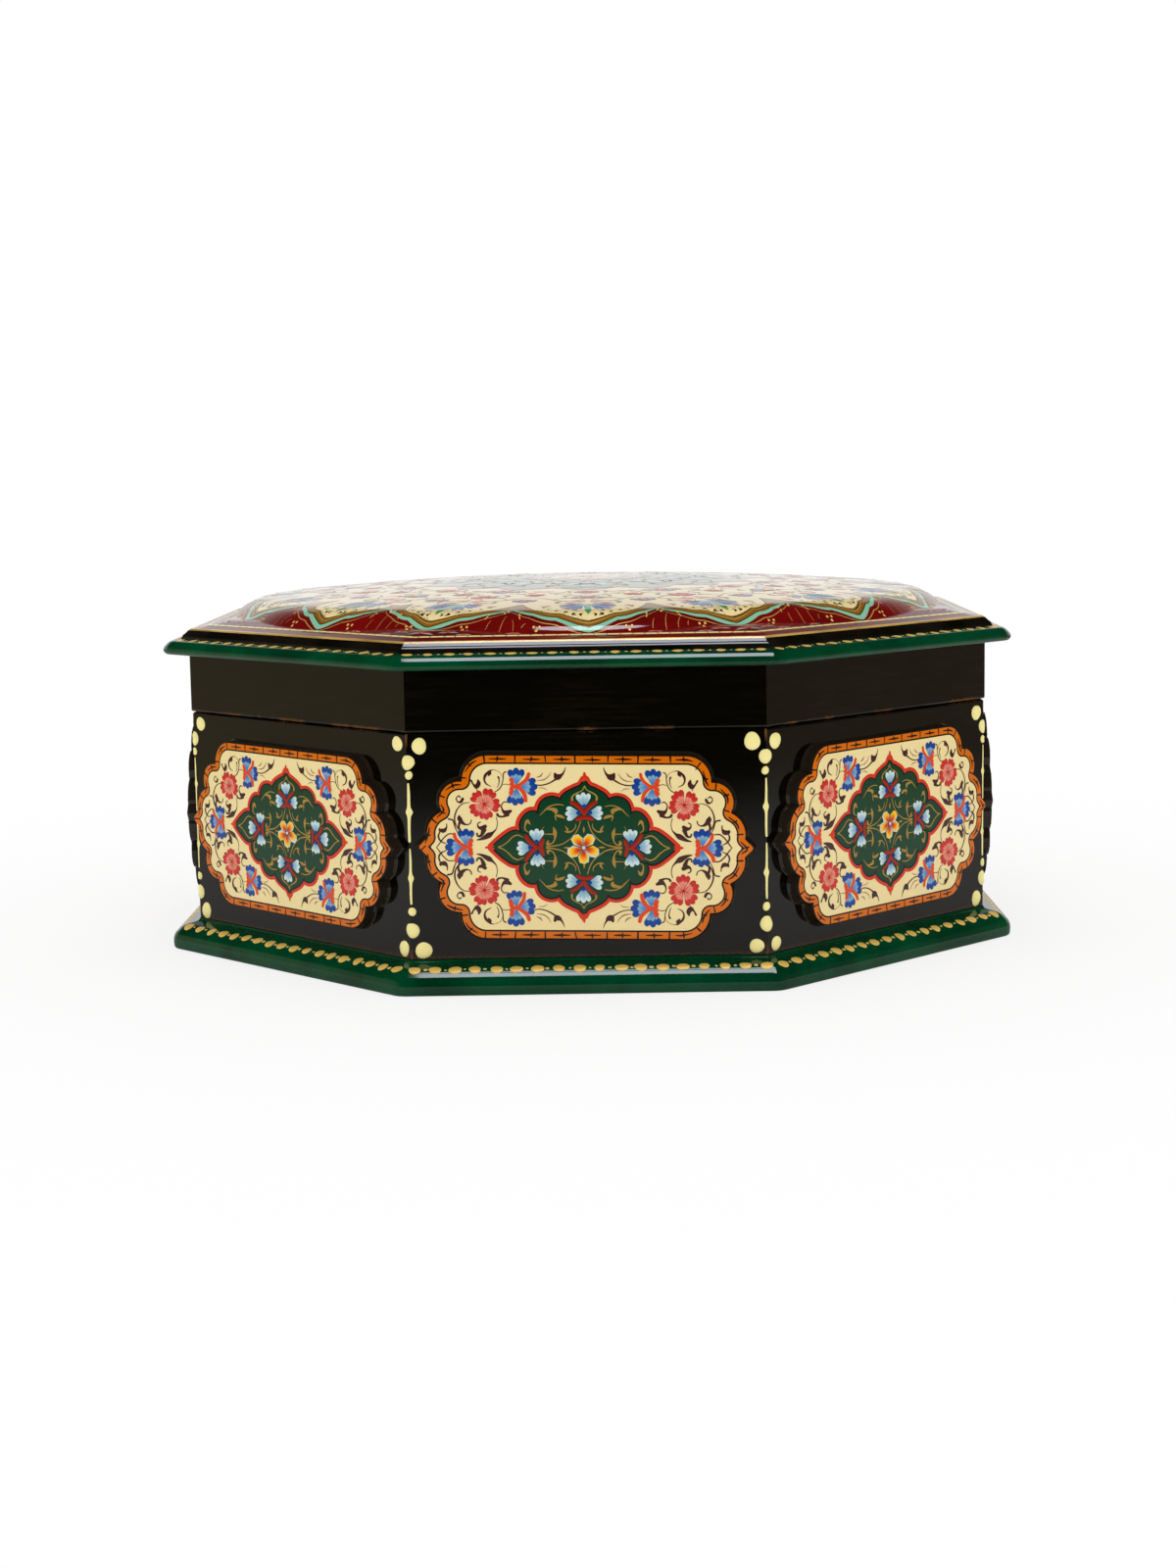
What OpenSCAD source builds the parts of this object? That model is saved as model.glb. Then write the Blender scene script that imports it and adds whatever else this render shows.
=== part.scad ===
/* [Body] */
// Width of the eight-sided body across its flats
body_w = 200; // [170:1:260]
// Height of the walls between the base board and the seam
wall_h = 53.2; // [47:0.1:90]
// Thickness of the walls and of the lid's band
wall_t = 7; // [6:0.1:9]
// Radius worked on the outer edges at the seam
seam_r = 0.5; // [0.2:0.05:1]
// Open gap between the walls and the lid's band
seam_gap = 0.3; // [0.2:0.05:0.6]

/* [Base board] */
// Thickness of the moulded base board
base_t = 7; // [6:0.1:12]
// How far the base moulding stands out from the walls
base_out = 6.9; // [5:0.1:10]
// Radius of the base moulding's nose
base_nose_r = 2.9; // [2:0.1:3.4]
// Height of the centre of that nose
base_nose_z = 2.3; // [1:0.1:3]
// Radius on the lower edge of the base moulding
base_foot_r = 0.6; // [0.2:0.1:0.9]

/* [Lid] */
// Height of the black band below the lid board
band_h = 14.7; // [10:0.1:30]
// How far the band stands out from the walls
band_out = 0.3; // [0:0.05:0.8]
// Thickness of the moulded lid board
lid_t = 6; // [5.2:0.1:9]
// How far the lid moulding stands out from the band
lid_out = 6.5; // [5:0.1:9]
// Radius of the lid moulding's nose
lid_nose_r = 1.1; // [0.8:0.1:1.5]
// Height of the centre of that nose above the lid board's underside
lid_nose_z = 0.95; // [0.6:0.05:1.4]
// Width of the black cove under the gold edge
cove_w = 1.9; // [1:0.1:2.4]
// Height of that cove
cove_h = 2.3; // [1.5:0.1:2.8]
// Radius of that cove
cove_r = 2.2; // [2:0.1:5]
// Height of the sharp step at the foot of that cove
cove_step = 0.15; // [0.05:0.05:0.4]
// Radius on the lower edge of the lid moulding
lid_foot_r = 0.3; // [0.1:0.05:0.4]

/* [Dome] */
// Width of the flat gold edge around the cap
gold_w = 0.4; // [0.2:0.1:1]
// Rise of the ledge per unit of its width
ledge_slope = 0.2; // [0.1:0.01:0.3]
// Height of the cap from the gold edge to its crown
dome_h = 9.8; // [8:0.1:20]
// Distance from the gold edge to the centre line of the shoulder
shoulder_in = 15.8; // [15:0.1:25]
// Radius of the cap's shoulder
shoulder_r = 13.5; // [8:0.1:15]
// Radius of the cap's crown
crown_r = 1000; // [600:10:3000]

/* [Plaques] */
// Distance from a plaque's cusp to the corner of the wall
plaque_side = 2.7; // [1:0.1:8]
// Distance from a plaque's top or bottom to that of the wall
plaque_end = 5.4; // [4:0.1:9]
// Thickness of a plaque
plaque_t = 3; // [1:0.1:4]
// Radius of the lobe at the corner of a plaque, as a share of its chord
corner_lobe = 0.7; // [0.52:0.01:1.5]
// Radius of the middle lobe, as a share of its chord
middle_lobe = 0.57; // [0.52:0.01:1.5]
// Radius of the lobe beside the cusp, as a share of its chord
end_lobe = 0.82; // [0.52:0.01:1.5]
// Length of the pointed cusp past the end lobes
cusp_len = 2.2; // [1.5:0.1:3]

/* [Lining] */
// Thickness of the cloth-covered cards
card_t = 1.5; // [1:0.1:2.5]
// Distance from the top of a wall card to the seam
card_drop = 1.5; // [0.5:0.1:6]
// Gap between a card and its neighbours
card_gap = 0.2; // [0.1:0.05:0.5]

/* [Hinges] */
// Length of a hinge
hinge_len = 20; // [14:0.5:24]
// Distance from the end of a hinge to the corner of the back wall
hinge_end = 7.4; // [6:0.1:9]
// Distance from the back wall's face to the hinge axis
hinge_in = 2; // [1.8:0.1:2.4]
// Angle to which the lid opens before its bevels meet
open_angle = 100; // [90:1:110]
// Outer diameter of a knuckle
knuckle_d = 2.6; // [2.4:0.1:3]
// Knuckles of one hinge, an odd number
knuckle_n = 5; // [3:2:7]
// Gap between one knuckle and the next
knuckle_gap = 0.2; // [0.1:0.05:0.4]
// Diameter of the hinge pin
pin_d = 1.2; // [0.9:0.1:1.4]
// Running clearance of the pin all round
pin_fit = 0.05; // [0.03:0.01:0.1]
// Thickness of a hinge leaf
leaf_t = 0.8; // [0.7:0.05:1]
// Wood left between a leaf and the wall's inner face
leaf_margin = 0.8; // [0.3:0.1:1]
// Clearance around a leaf and around the knuckles
leaf_fit = 0.15; // [0.1:0.05:0.3]
// Screws in one leaf
screw_n = 3; // [2:1:3]
// Distance between the screws of a leaf
screw_pitch = 6.5; // [5:0.1:6.6]
// Length of a screw
screw_len = 8; // [5:0.5:10]
// Diameter of a screw's shank
screw_d = 1.2; // [1:0.1:1.3]
// Diameter of a screw's flat head
screw_head_d = 2.1; // [1.8:0.1:2.3]
// Depth of that head
screw_head_h = 0.5; // [0.3:0.05:0.6]
// Clearance around a screw
screw_fit = 0.05; // [0.03:0.01:0.1]

/* [Hidden] */
SIDES = ["front", "front_right", "right", "back_right", "back", "back_left", "left", "front_left"];
HANDS = ["left", "right"];
$fn = 96;

turn = 360 / len(SIDES);
half_turn = turn / 2;
// Half width of the body, of its band and of the gold edge, from the centre to a flat
body_a = body_w / 2;
band_a = body_a + band_out;
seam_z = base_t + wall_h;
band_z = seam_z + seam_gap;
lid_z = band_z + band_h;
gold_z = lid_z + lid_t;
axis_y = body_a - hinge_in;
axis_z = seam_z + seam_gap / 2;
bevel = open_angle / 2;
inner_a = body_a - wall_t;
card_a = inner_a - card_t;
leaf_w = wall_t - hinge_in - leaf_margin;
knuckle_clear_r = knuckle_d / 2 + leaf_fit;
knuckle_pitch = hinge_len / knuckle_n;
screw_y = -(leaf_w + knuckle_clear_r) / 2;
face_half_w = body_a * tan(half_turn);
hinge_x = face_half_w - hinge_end - hinge_len / 2;
// Where the two hinges stand along the axis
hinge_xs = [-hinge_x, hinge_x];
// Longer than any straight cut that has to pass right through the box
reach = 2 * body_w;
// How far an outline runs past the line it has to cover
lap = 1;
// Where the lobes of a plaque meet, as shares of its half width and half height
flat_end = [0.587, 1];
notch_1 = [0.739, 0.717];
notch_2 = [0.858, 0.387];
// Straight pieces in one lobe of a plaque's edge, and around the circle of the cap's crown
lobe_steps = 10;
crown_steps = 720;

// Centre of the circle of radius r through p and q that lies to the right of the way from p to q
function arc_centre(p, q, r) =
  let (d = q - p, m = (p + q) / 2, len = norm(d), s = sqrt(r * r - len * len / 4))
  m + s * [d[1], -d[0]] / len;

// Points of an arc that bulges to the left of the way from p to q, without q itself
function lobe(p, q, share) =
  let (
    r = share * norm(q - p),
    c = arc_centre(p, q, r),
    from = atan2(p[1] - c[1], p[0] - c[0]),
    to = atan2(q[1] - c[1], q[0] - c[0]),
    sweep = (from - to + 360) % 360
  )
  [
    for (i = [0 : lobe_steps - 1])
      let (angle = from - sweep * i / lobe_steps) c + r * [cos(angle), sin(angle)]
  ];

// A point with its two coordinates multiplied by those of m
function scaled(point, m) = [m[0] * point[0], m[1] * point[1]];

// The points in the other order, each multiplied by m
function turned_back(points, m) = [for (i = [len(points) - 1 : -1 : 0]) scaled(points[i], m)];

// Point where the line from p touches the upper side of the circle of radius r about c
function touch(p, c, r) =
  let (d = p - c, toward = atan2(d[1], d[0]), swing = acos(r / norm(d)))
  c + r * [cos(toward - swing), sin(toward - swing)];

// One side of a board's edge: a rounded nose below a slope that runs up to p
module nose_edge(out, nose_r, nose_z, foot_r, p) {
  centre = [out - nose_r, nose_z];
  polygon([
    [-lap, 0],
    [out - foot_r, 0],
    [out, foot_r],
    [out, nose_z],
    centre,
    touch(p, centre, nose_r),
    p,
    [-lap, p[1]]
  ]);
  translate([out - foot_r, foot_r]) circle(r = foot_r);
  intersection() {
    translate(centre) circle(r = nose_r);
    translate([0, nose_z]) square([out, nose_r + lap]);
  }
}

// An outline and its mirror image
module both_ways() {
  children();
  mirror([1, 0]) children();
}

// Eight-sided solid that has the outline as its section across each pair of flats
module eight_sided() {
  intersection_for (k = [0 : len(SIDES) / 2 - 1])
    rotate([90, 0, turn * k]) linear_extrude(height = reach, center = true) children();
}

// Mitred panel on side k, from its outline seen along its length
module panel(k) {
  rotate([0, 0, turn * k])
    intersection() {
      rotate([90, 0, -90]) linear_extrude(height = body_w, center = true) children();
      linear_extrude(height = gold_z)
        polygon([[0, 0], [2 * face_half_w, -body_w], [-2 * face_half_w, -body_w]]);
    }
}

// Places something along the hinge axis
module at_axis(xs) {
  for (x = xs)
    translate([x, axis_y, axis_z]) children();
}

// Cut along the back of the lower edge, tilted so that the lid stops when it is open
module stop_bevel() {
  rotate([-bevel, 0, 0])
    translate([-body_a, 0, -seam_gap / 2]) cube([body_w, wall_t, wall_t]);
}

module screw_places() {
  for (i = [0 : screw_n - 1])
    translate([(i - (screw_n - 1) / 2) * screw_pitch, screw_y, -seam_gap / 2]) children();
}

// Flat-headed screw with its head's face at the origin, grown all round by a clearance
module screw(grow) {
  translate([0, 0, -screw_len - grow]) cylinder(d = screw_d + 2 * grow, h = screw_len + grow);
  translate([0, 0, -screw_head_h])
    cylinder(d1 = screw_d + 2 * grow, d2 = screw_head_d + 2 * grow, h = screw_head_h);
}

// Room in the lower edge for a leaf, its screws and half of the knuckles
module hinge_mortise() {
  room = hinge_len + 2 * leaf_fit;
  translate([-room / 2, -leaf_w - leaf_fit, -seam_gap / 2 - leaf_t])
    cube([room, leaf_w + leaf_fit, leaf_t + seam_gap]);
  translate([-room / 2, 0, 0]) rotate([0, 90, 0]) cylinder(r = knuckle_clear_r, h = room);
  screw_places() screw(screw_fit);
}

module knuckle(i, r, gap) {
  translate([i * knuckle_pitch - hinge_len / 2 + gap / 2, 0, 0])
    rotate([0, 90, 0]) cylinder(r = r, h = knuckle_pitch - gap);
}

// Lower leaf about the hinge axis, with its knuckles starting at the number first
module hinge_leaf(first) {
  difference() {
    union() {
      translate([-hinge_len / 2, -leaf_w, -seam_gap / 2 - leaf_t]) cube([hinge_len, leaf_w, leaf_t]);
      for (i = [first : 2 : knuckle_n - 1]) knuckle(i, knuckle_d / 2, knuckle_gap);
    }
    for (i = [1 - first : 2 : knuckle_n - 1]) knuckle(i, knuckle_clear_r, 0);
    translate([-hinge_len, 0, 0])
      rotate([0, 90, 0]) cylinder(r = pin_d / 2 + pin_fit, h = 2 * hinge_len);
    screw_places() screw(screw_fit);
  }
}

module base_board() {
  color("darkgreen")
    eight_sided()
      both_ways()
        nose_edge(body_a + base_out, base_nose_r, base_nose_z, base_foot_r, [body_a, base_t]);
}

module wall(k) {
  color([0.05, 0.05, 0.04])
    difference() {
      panel(k) {
        translate([inner_a, base_t]) square([wall_t, wall_h - seam_r]);
        translate([inner_a, base_t]) square([wall_t - seam_r, wall_h]);
        translate([body_a - seam_r, seam_z - seam_r]) circle(r = seam_r);
      }
      at_axis([0]) stop_bevel();
      at_axis(hinge_xs) hinge_mortise();
    }
}

module lid_band(k) {
  color([0.08, 0.07, 0.06])
    difference() {
      panel(k) {
        translate([band_a - wall_t, band_z + seam_r]) square([wall_t, band_h - seam_r]);
        translate([band_a - wall_t, band_z]) square([wall_t - seam_r, band_h]);
        translate([band_a - seam_r, band_z + seam_r]) circle(r = seam_r);
      }
      at_axis([0]) mirror([0, 0, 1]) stop_bevel();
      at_axis(hinge_xs) mirror([0, 0, 1]) hinge_mortise();
    }
}

// Outline of a plaque: a straight top and bottom, three lobes at each corner and two cusps
module plaque_outline() {
  half = [face_half_w - plaque_side, wall_h / 2 - plaque_end];
  cusp_root = [half[0] - cusp_len, cusp_len];
  quarter = concat(
    lobe(scaled(flat_end, half), scaled(notch_1, half), corner_lobe),
    lobe(scaled(notch_1, half), scaled(notch_2, half), middle_lobe),
    lobe(scaled(notch_2, half), cusp_root, end_lobe),
    [cusp_root]
  );
  right = concat(quarter, [[half[0], 0]], turned_back(quarter, [1, -1]));
  polygon(concat(right, turned_back(right, [-1, 1])));
}

module plaque(k) {
  color([0.85, 0.8, 0.6])
    rotate([0, 0, turn * k])
      translate([0, -body_a, base_t + wall_h / 2])
        rotate([90, 0, 0]) linear_extrude(height = plaque_t) plaque_outline();
}

module lid_board() {
  slope_top = [band_a + cove_w, lid_t - cove_h];
  gold = [band_a, lid_t];
  quirk = slope_top + [0, cove_step];
  color("darkgreen")
    translate([0, 0, lid_z])
      eight_sided()
        both_ways() {
          nose_edge(band_a + lid_out, lid_nose_r, lid_nose_z, lid_foot_r, slope_top);
          difference() {
            translate([-lap, lid_nose_z]) square([slope_top[0] + lap, lid_t - lid_nose_z]);
            translate(arc_centre(quirk, gold, cove_r)) circle(r = cove_r);
          }
        }
}

module lid_dome() {
  foot = band_a - gold_w;
  ledge_w = shoulder_in - gold_w;
  ledge_h = ledge_w * ledge_slope;
  shoulder_x = band_a - shoulder_in;
  crown_z = dome_h - crown_r;
  shoulder_z = crown_z + sqrt(pow(crown_r - shoulder_r, 2) - pow(shoulder_x, 2));
  // Where the crown's curve runs into the shoulder's
  swing = atan2(shoulder_x, shoulder_z - crown_z);
  join = [crown_r * sin(swing), crown_z + crown_r * cos(swing)];
  color("firebrick")
    translate([0, 0, gold_z]) {
      eight_sided()
        polygon([[-foot, 0], [foot, 0], [foot - ledge_w, ledge_h], [ledge_w - foot, ledge_h]]);
      rotate_extrude() {
        intersection() {
          translate([0, crown_z]) circle(r = crown_r, $fn = crown_steps);
          square([join[0], dome_h]);
        }
        intersection() {
          translate([shoulder_x, shoulder_z]) circle(r = shoulder_r);
          square([body_w, dome_h]);
        }
      }
    }
}

module floor_lining() {
  half_w = inner_a - card_gap;
  color("maroon")
    translate([0, 0, base_t])
      eight_sided() translate([-half_w, 0]) square([2 * half_w, card_t]);
}

module wall_lining(k) {
  color("brown")
    panel(k)
      translate([card_a, base_t + card_t + card_gap])
        square([card_t, wall_h - card_t - card_gap - card_drop]);
}

module lid_lining() {
  half_w = band_a - wall_t - card_gap;
  color("maroon")
    translate([0, 0, lid_z - card_t])
      eight_sided() translate([-half_w, 0]) square([2 * half_w, card_t]);
}

module hinge_body_leaf(x) {
  color("goldenrod")
    at_axis([x]) hinge_leaf(0);
}

module hinge_lid_leaf(x) {
  color("gold")
    at_axis([x]) mirror([0, 0, 1]) hinge_leaf(1);
}

module hinge_pin(x) {
  color("darkgoldenrod")
    at_axis([x]) rotate([0, 90, 0]) cylinder(d = pin_d, h = hinge_len, center = true);
}

module body_hinge_screws() {
  color("peru")
    at_axis(hinge_xs) screw_places() screw(0);
}

module lid_hinge_screws() {
  color("peru")
    at_axis(hinge_xs) mirror([0, 0, 1]) screw_places() screw(0);
}

base_board();
lid_board();
lid_dome();
floor_lining();
lid_lining();
for (k = [0 : len(SIDES) - 1]) {
  wall(k);
  plaque(k);
  lid_band(k);
  wall_lining(k);
}
for (k = [0 : len(HANDS) - 1]) {
  hinge_body_leaf(hinge_xs[k]);
  hinge_lid_leaf(hinge_xs[k]);
  hinge_pin(hinge_xs[k]);
}
body_hinge_screws();
lid_hinge_screws();
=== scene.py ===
import bpy
import numpy as np
from math import radians
from mathutils import Matrix


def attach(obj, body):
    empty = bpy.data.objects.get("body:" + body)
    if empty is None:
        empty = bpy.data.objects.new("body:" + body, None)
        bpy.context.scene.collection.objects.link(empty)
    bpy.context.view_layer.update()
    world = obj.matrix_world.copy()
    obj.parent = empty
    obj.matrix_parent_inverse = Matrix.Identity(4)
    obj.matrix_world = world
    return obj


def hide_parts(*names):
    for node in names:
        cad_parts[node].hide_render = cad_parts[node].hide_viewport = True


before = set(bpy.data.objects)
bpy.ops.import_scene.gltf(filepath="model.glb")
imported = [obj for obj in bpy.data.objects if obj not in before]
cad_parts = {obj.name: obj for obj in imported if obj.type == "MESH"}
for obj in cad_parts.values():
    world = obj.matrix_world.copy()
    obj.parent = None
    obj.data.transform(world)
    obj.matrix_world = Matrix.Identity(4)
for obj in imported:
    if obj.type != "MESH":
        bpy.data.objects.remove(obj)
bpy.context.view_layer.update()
scene = bpy.context.scene
mm = 0.001
white = (1, 1, 1, 1)
sides = ["front", "front_right", "right", "back_right", "back", "back_left", "left", "front_left"]
eighth = np.pi / 4
halfTan = np.tan(eighth / 2)

# Camera and studio

view = dict(place=(0.0056, -0.6721, 0.1234), yaw=0.53, pitch=-7.51, roll=0.99, lens=76.66, sensor=36)
studio = dict(
    floorTone=1.0, floorSize=6.0, floorGlow=0.74, floorFade=(0.25, 0.5), shadedNearFloor=(0.53, 0.52, 0.5, 1),
    farFront=(0.012, 0.011, 0.009, 1), farLeft=(0.34, 0.28, 0.17, 1), farRight=(0.2, 0.16, 0.11, 1),
    farRamp=(0.3, 0.8), frontLevel=0.004, leftLevel=0.3, rightLevel=0.08, backLevel=0.86, overheadLevel=0.01,
    sideRamp=(0.1, -0.1), frontRamp=(-0.9, -0.2), backRamp=(0.3, 0.75),
    roomTop=(0.12, 0.36), roomSides=(0.12, 0.24, 0.16), roomTone=(1.0, 0.86, 0.6, 1),
    stripPlace=(0.105, -0.13, 1.0), stripSize=(0.5, 0.2), stripPower=2.9, stripTone=(0.86, 0.9, 1.0),
)


def turned(angle, axis):
    return Matrix.Rotation(radians(angle), 4, axis)


def linked(name, data):
    made = bpy.data.objects.new(name, data)
    scene.collection.objects.link(made)
    return made


camera = linked("camera", bpy.data.cameras.new("camera"))
heading = turned(view["yaw"], "Z") @ turned(view["pitch"], "X") @ turned(view["roll"], "Y")
camera.matrix_world = Matrix.Translation(view["place"]) @ heading @ turned(90, "X")
camera.data.sensor_fit = "HORIZONTAL"
camera.data.sensor_width = view["sensor"]
camera.data.lens = view["lens"]
scene.camera = camera
scene.view_settings.view_transform = "Standard"


# Linear values of an sRGB colour given in steps of 0 to 255
def linear(tone):
    share = np.asarray(tone, float) / 255
    return np.where(share <= 0.04045, share / 12.92, ((share + 0.055) / 1.055) ** 2.4)


def rgba(tone):
    return (*linear(tone), 1.0)


# An output of a shader node that takes part in sums like a number
class Wire:
    def __init__(self, shader, socket):
        self.shader = shader
        self.socket = socket

    def __add__(self, other):
        return self.shader.maths("ADD", self, other)

    def __sub__(self, other):
        return self.shader.maths("SUBTRACT", self, other)

    def __rsub__(self, other):
        return self.shader.maths("SUBTRACT", other, self)

    def __mul__(self, other):
        return self.shader.maths("MULTIPLY", self, other)

    def __truediv__(self, other):
        return self.shader.maths("DIVIDE", self, other)

    def __abs__(self):
        return self.shader.maths("ABSOLUTE", self)

    __radd__ = __add__
    __rmul__ = __mul__


# A node tree with short ways to add to it
class Shader:
    def __init__(self, owner, constants=None):
        owner.use_nodes = True
        self.owner = owner
        self.tree = owner.node_tree
        self.surface = self.tree.nodes.get("Principled BSDF")
        for label, value in (constants or {}).items():
            self.surface.inputs[label].default_value = value

    def add(self, kind, inputs, output=0, **settings):
        node = self.tree.nodes.new(kind)
        for label, value in settings.items():
            setattr(node, label, value)
        for label, value in inputs.items():
            self.feed(node.inputs[label], value)
        return Wire(self, node.outputs[output])

    def feed(self, socket, value):
        if isinstance(value, Wire):
            self.tree.links.new(value.socket, socket)
        else:
            socket.default_value = value

    def dress(self, **values):
        for label, value in values.items():
            self.feed(self.surface.inputs[label.replace("_", " ")], value)
        return self.owner

    def maths(self, kind, *values):
        return self.add("ShaderNodeMath", dict(enumerate(values)), operation=kind)

    def place(self):
        return self.add("ShaderNodeTexCoord", {}, "Object")

    def parts(self, vector):
        node = self.add("ShaderNodeSeparateXYZ", {"Vector": vector}).socket.node
        return [Wire(self, socket) for socket in node.outputs]

    def joined(self, x, y, z):
        return self.add("ShaderNodeCombineXYZ", {"X": x, "Y": y, "Z": z})

    def noise(self, vector, scale, detail=3.0, roughness=0.55):
        inputs = {"Vector": vector, "Scale": scale, "Detail": detail, "Roughness": roughness}
        return self.add("ShaderNodeTexNoise", inputs)

    def ramp(self, value, low, high):
        inputs = {"Value": value, "From Min": low, "From Max": high}
        return self.add("ShaderNodeMapRange", inputs, interpolation_type="SMOOTHSTEP")

    def mixed(self, share, first, second):
        return self.add("ShaderNodeMix", {0: share, 6: first, 7: second}, 2, data_type="RGBA")

    def bump(self, height, distance, strength=1.0):
        inputs = {"Height": height, "Distance": distance, "Strength": strength}
        return self.add("ShaderNodeBump", inputs)


# White for the camera, even light for the box, and a plain room for its reflections
def makeWorld():
    world = bpy.data.worlds.new("studio")
    scene.world = world
    shader = Shader(world)
    x, y, z = shader.parts(shader.add("ShaderNodeTexCoord", {}, "Generated"))
    toLeft, toBack = shader.ramp(x, *studio["sideRamp"]), shader.ramp(y, *studio["backRamp"])
    side = studio["rightLevel"] + (studio["leftLevel"] - studio["rightLevel"]) * toLeft
    level = studio["frontLevel"] + (side - studio["frontLevel"]) * shader.ramp(y, *studio["frontRamp"])
    level = level + (studio["backLevel"] - side) * toBack
    near, far, rise = studio["roomSides"]
    low = 1 - shader.ramp(abs(z) - shader.ramp(abs(x), near, far) * rise, *studio["roomTop"])
    room = low * (level - studio["overheadLevel"]) + studio["overheadLevel"]
    glossy = shader.add("ShaderNodeLightPath", {}, "Is Glossy Ray")
    background = shader.tree.nodes["Background"]
    warm = shader.mixed(toBack, studio["roomTone"], white)
    shader.feed(background.inputs["Color"], shader.mixed(glossy, white, warm))
    shader.feed(background.inputs["Strength"], glossy * (room - 1) + 1)


# Pale sweep that a glossy reflection only shows near the box, where it is grey as a painted shade of the floor around
# the box
def makeFloor():
    half = studio["floorSize"] / 2
    mesh = bpy.data.meshes.new("floor")
    corners = [(-half, -half, 0), (half, -half, 0), (half, half, 0), (-half, half, 0)]
    mesh.from_pydata(corners, [], [(0, 1, 2, 3)])
    floor = linked("floor", mesh)
    shader = Shader(bpy.data.materials.new("floor"), {"Roughness": 0.9, "Specular IOR Level": 0.0})
    x, y, _ = shader.parts(shader.place())
    radius = shader.maths("SQRT", x * x + y * y)
    far = shader.mixed(shader.ramp(x / radius, *studio["farRamp"]), studio["farFront"], studio["farRight"])
    far = shader.mixed(shader.ramp(0 - x / radius, *studio["farRamp"]), far, studio["farLeft"])
    # In reflections the floor near the box is grey, a painted shade where the box shades it, and it fades to the dark
    # room beyond
    mirrored = shader.mixed(shader.ramp(radius, *studio["floorFade"]), studio["shadedNearFloor"], far)
    glossy = shader.add("ShaderNodeLightPath", {}, "Is Glossy Ray")
    shader.dress(Base_Color=shader.mixed(glossy, (*[studio["floorTone"]] * 3, 1), mirrored))
    # The camera sees a floor that is part glow, which keeps the shadow soft and pale
    glow = shader.add("ShaderNodeEmission", {"Color": white, "Strength": 1.0})
    seen = shader.add("ShaderNodeLightPath", {}, "Is Camera Ray") * studio["floorGlow"]
    both = shader.add("ShaderNodeMixShader", {0: seen, 1: Wire(shader, shader.surface.outputs[0]), 2: glow})
    shader.feed(shader.tree.nodes["Material Output"].inputs["Surface"], both)
    mesh.materials.append(shader.owner)


def makeStrip():
    lamp = bpy.data.lights.new("strip", "AREA")
    lamp.shape = "RECTANGLE"
    lamp.size, lamp.size_y = studio["stripSize"]
    lamp.energy = studio["stripPower"]
    lamp.color = studio["stripTone"]
    strip = linked("strip", lamp)
    strip.location = studio["stripPlace"]
    strip.visible_diffuse = False  # the room lights the colours, this one only the gloss


makeWorld()
makeFloor()
makeStrip()
print("studio ready")

# Materials

# Tones of the paint; flank, the brownish black of the plaques' sides, is lighter than the black partly as a painted
# reflection of the floor and room they face
tones = dict(
    black=(5, 4, 1), streak=(22, 18, 12), flank=(38, 31, 23), bareWood=(96, 64, 36), rimWood=(40, 28, 18),
    green=(0, 68, 38), deepGreen=(0, 46, 24), crimson=(118, 8, 8), cream=(243, 222, 161),
    bead=(253, 240, 162), orange=(214, 106, 4), ink=(18, 11, 8), scroll=(66, 32, 30), faintScroll=(150, 100, 84),
    redLine=(212, 52, 24), meadow=(0, 58, 30), sage=(88, 124, 98), navy=(24, 68, 148), blue=(72, 120, 176),
    sky=(138, 180, 208), frost=(164, 196, 208), pale=(202, 220, 218), ribbon=(222, 68, 32), darkRibbon=(158, 26, 10),
    rose=(192, 40, 36), rosePink=(214, 86, 72), roseLight=(236, 150, 128), yellow=(250, 196, 40),
    amber=(240, 130, 20), ember=(186, 44, 10), fan=(34, 50, 138), turquoise=(136, 196, 164), bronze=(140, 92, 20),
    gold=(252, 208, 104), goldDark=(184, 140, 54), goldSoft=(204, 160, 74), spear=(60, 150, 100),
    salmon=(226, 150, 130), ash=(170, 180, 170),
    darkCrimson=(84, 8, 8), softBlack=(26, 22, 18), velvet=(96, 8, 18), darkVelvet=(80, 6, 15),
    brass=(214, 172, 96), darkBrass=(140, 98, 48),
)
lacquer = {"Coat Weight": 1.0, "Coat Roughness": 0.05, "Specular IOR Level": 0.0, "Roughness": 0.45}
# Sheen on the lid's coat, a painted reflection: a pale veil of the room over the lid where it is seen along its
# surface
reflectionVeil = {"Sheen Weight": 1.0, "Sheen Roughness": 0.145, "Sheen Tint": (0.8, 0.77, 0.74, 1)}


# Height in the surface of a coat that ran a little before it set: broad waves and faint small ones
def coatWaves(shader, place):
    return shader.noise(place, 90, 2) + shader.noise(place, 900, 2) * 0.04


# Wear of the black lacquer: heights and widths in metres, scales and levels of the noises
wear = dict(
    grainScale=1500, grainStretch=0.06, cloudScale=35, speckleScale=1400, patchScale=70, streakRamp=(0.52, 0.9),
    wallMiddle=0.0336, endRamp=(0.023, 0.0255), topRamp=(0.0605, 0.0600),
    cornerRamp=(0.0004, 0.0002), cornerBreak=0.0009, edgeBreak=0.0012,
    bandFoot=0.0606, bandRamp=(0.0007, 0.0002), patchRamp=(0.53, 0.6), outerRamp=(0.0995, 0.0999),
    seam=0.06035, seamRamp=(0.00022, 0.00018), footRamp=(0.0085, 0.0079), footSpeckle=(0.4, 0.6), halfWorn=0.6,
    roughness=0.35, bareRoughness=0.3, coatLoss=0.85, relief=0.00012, grainRelief=0.012,
)


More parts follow.
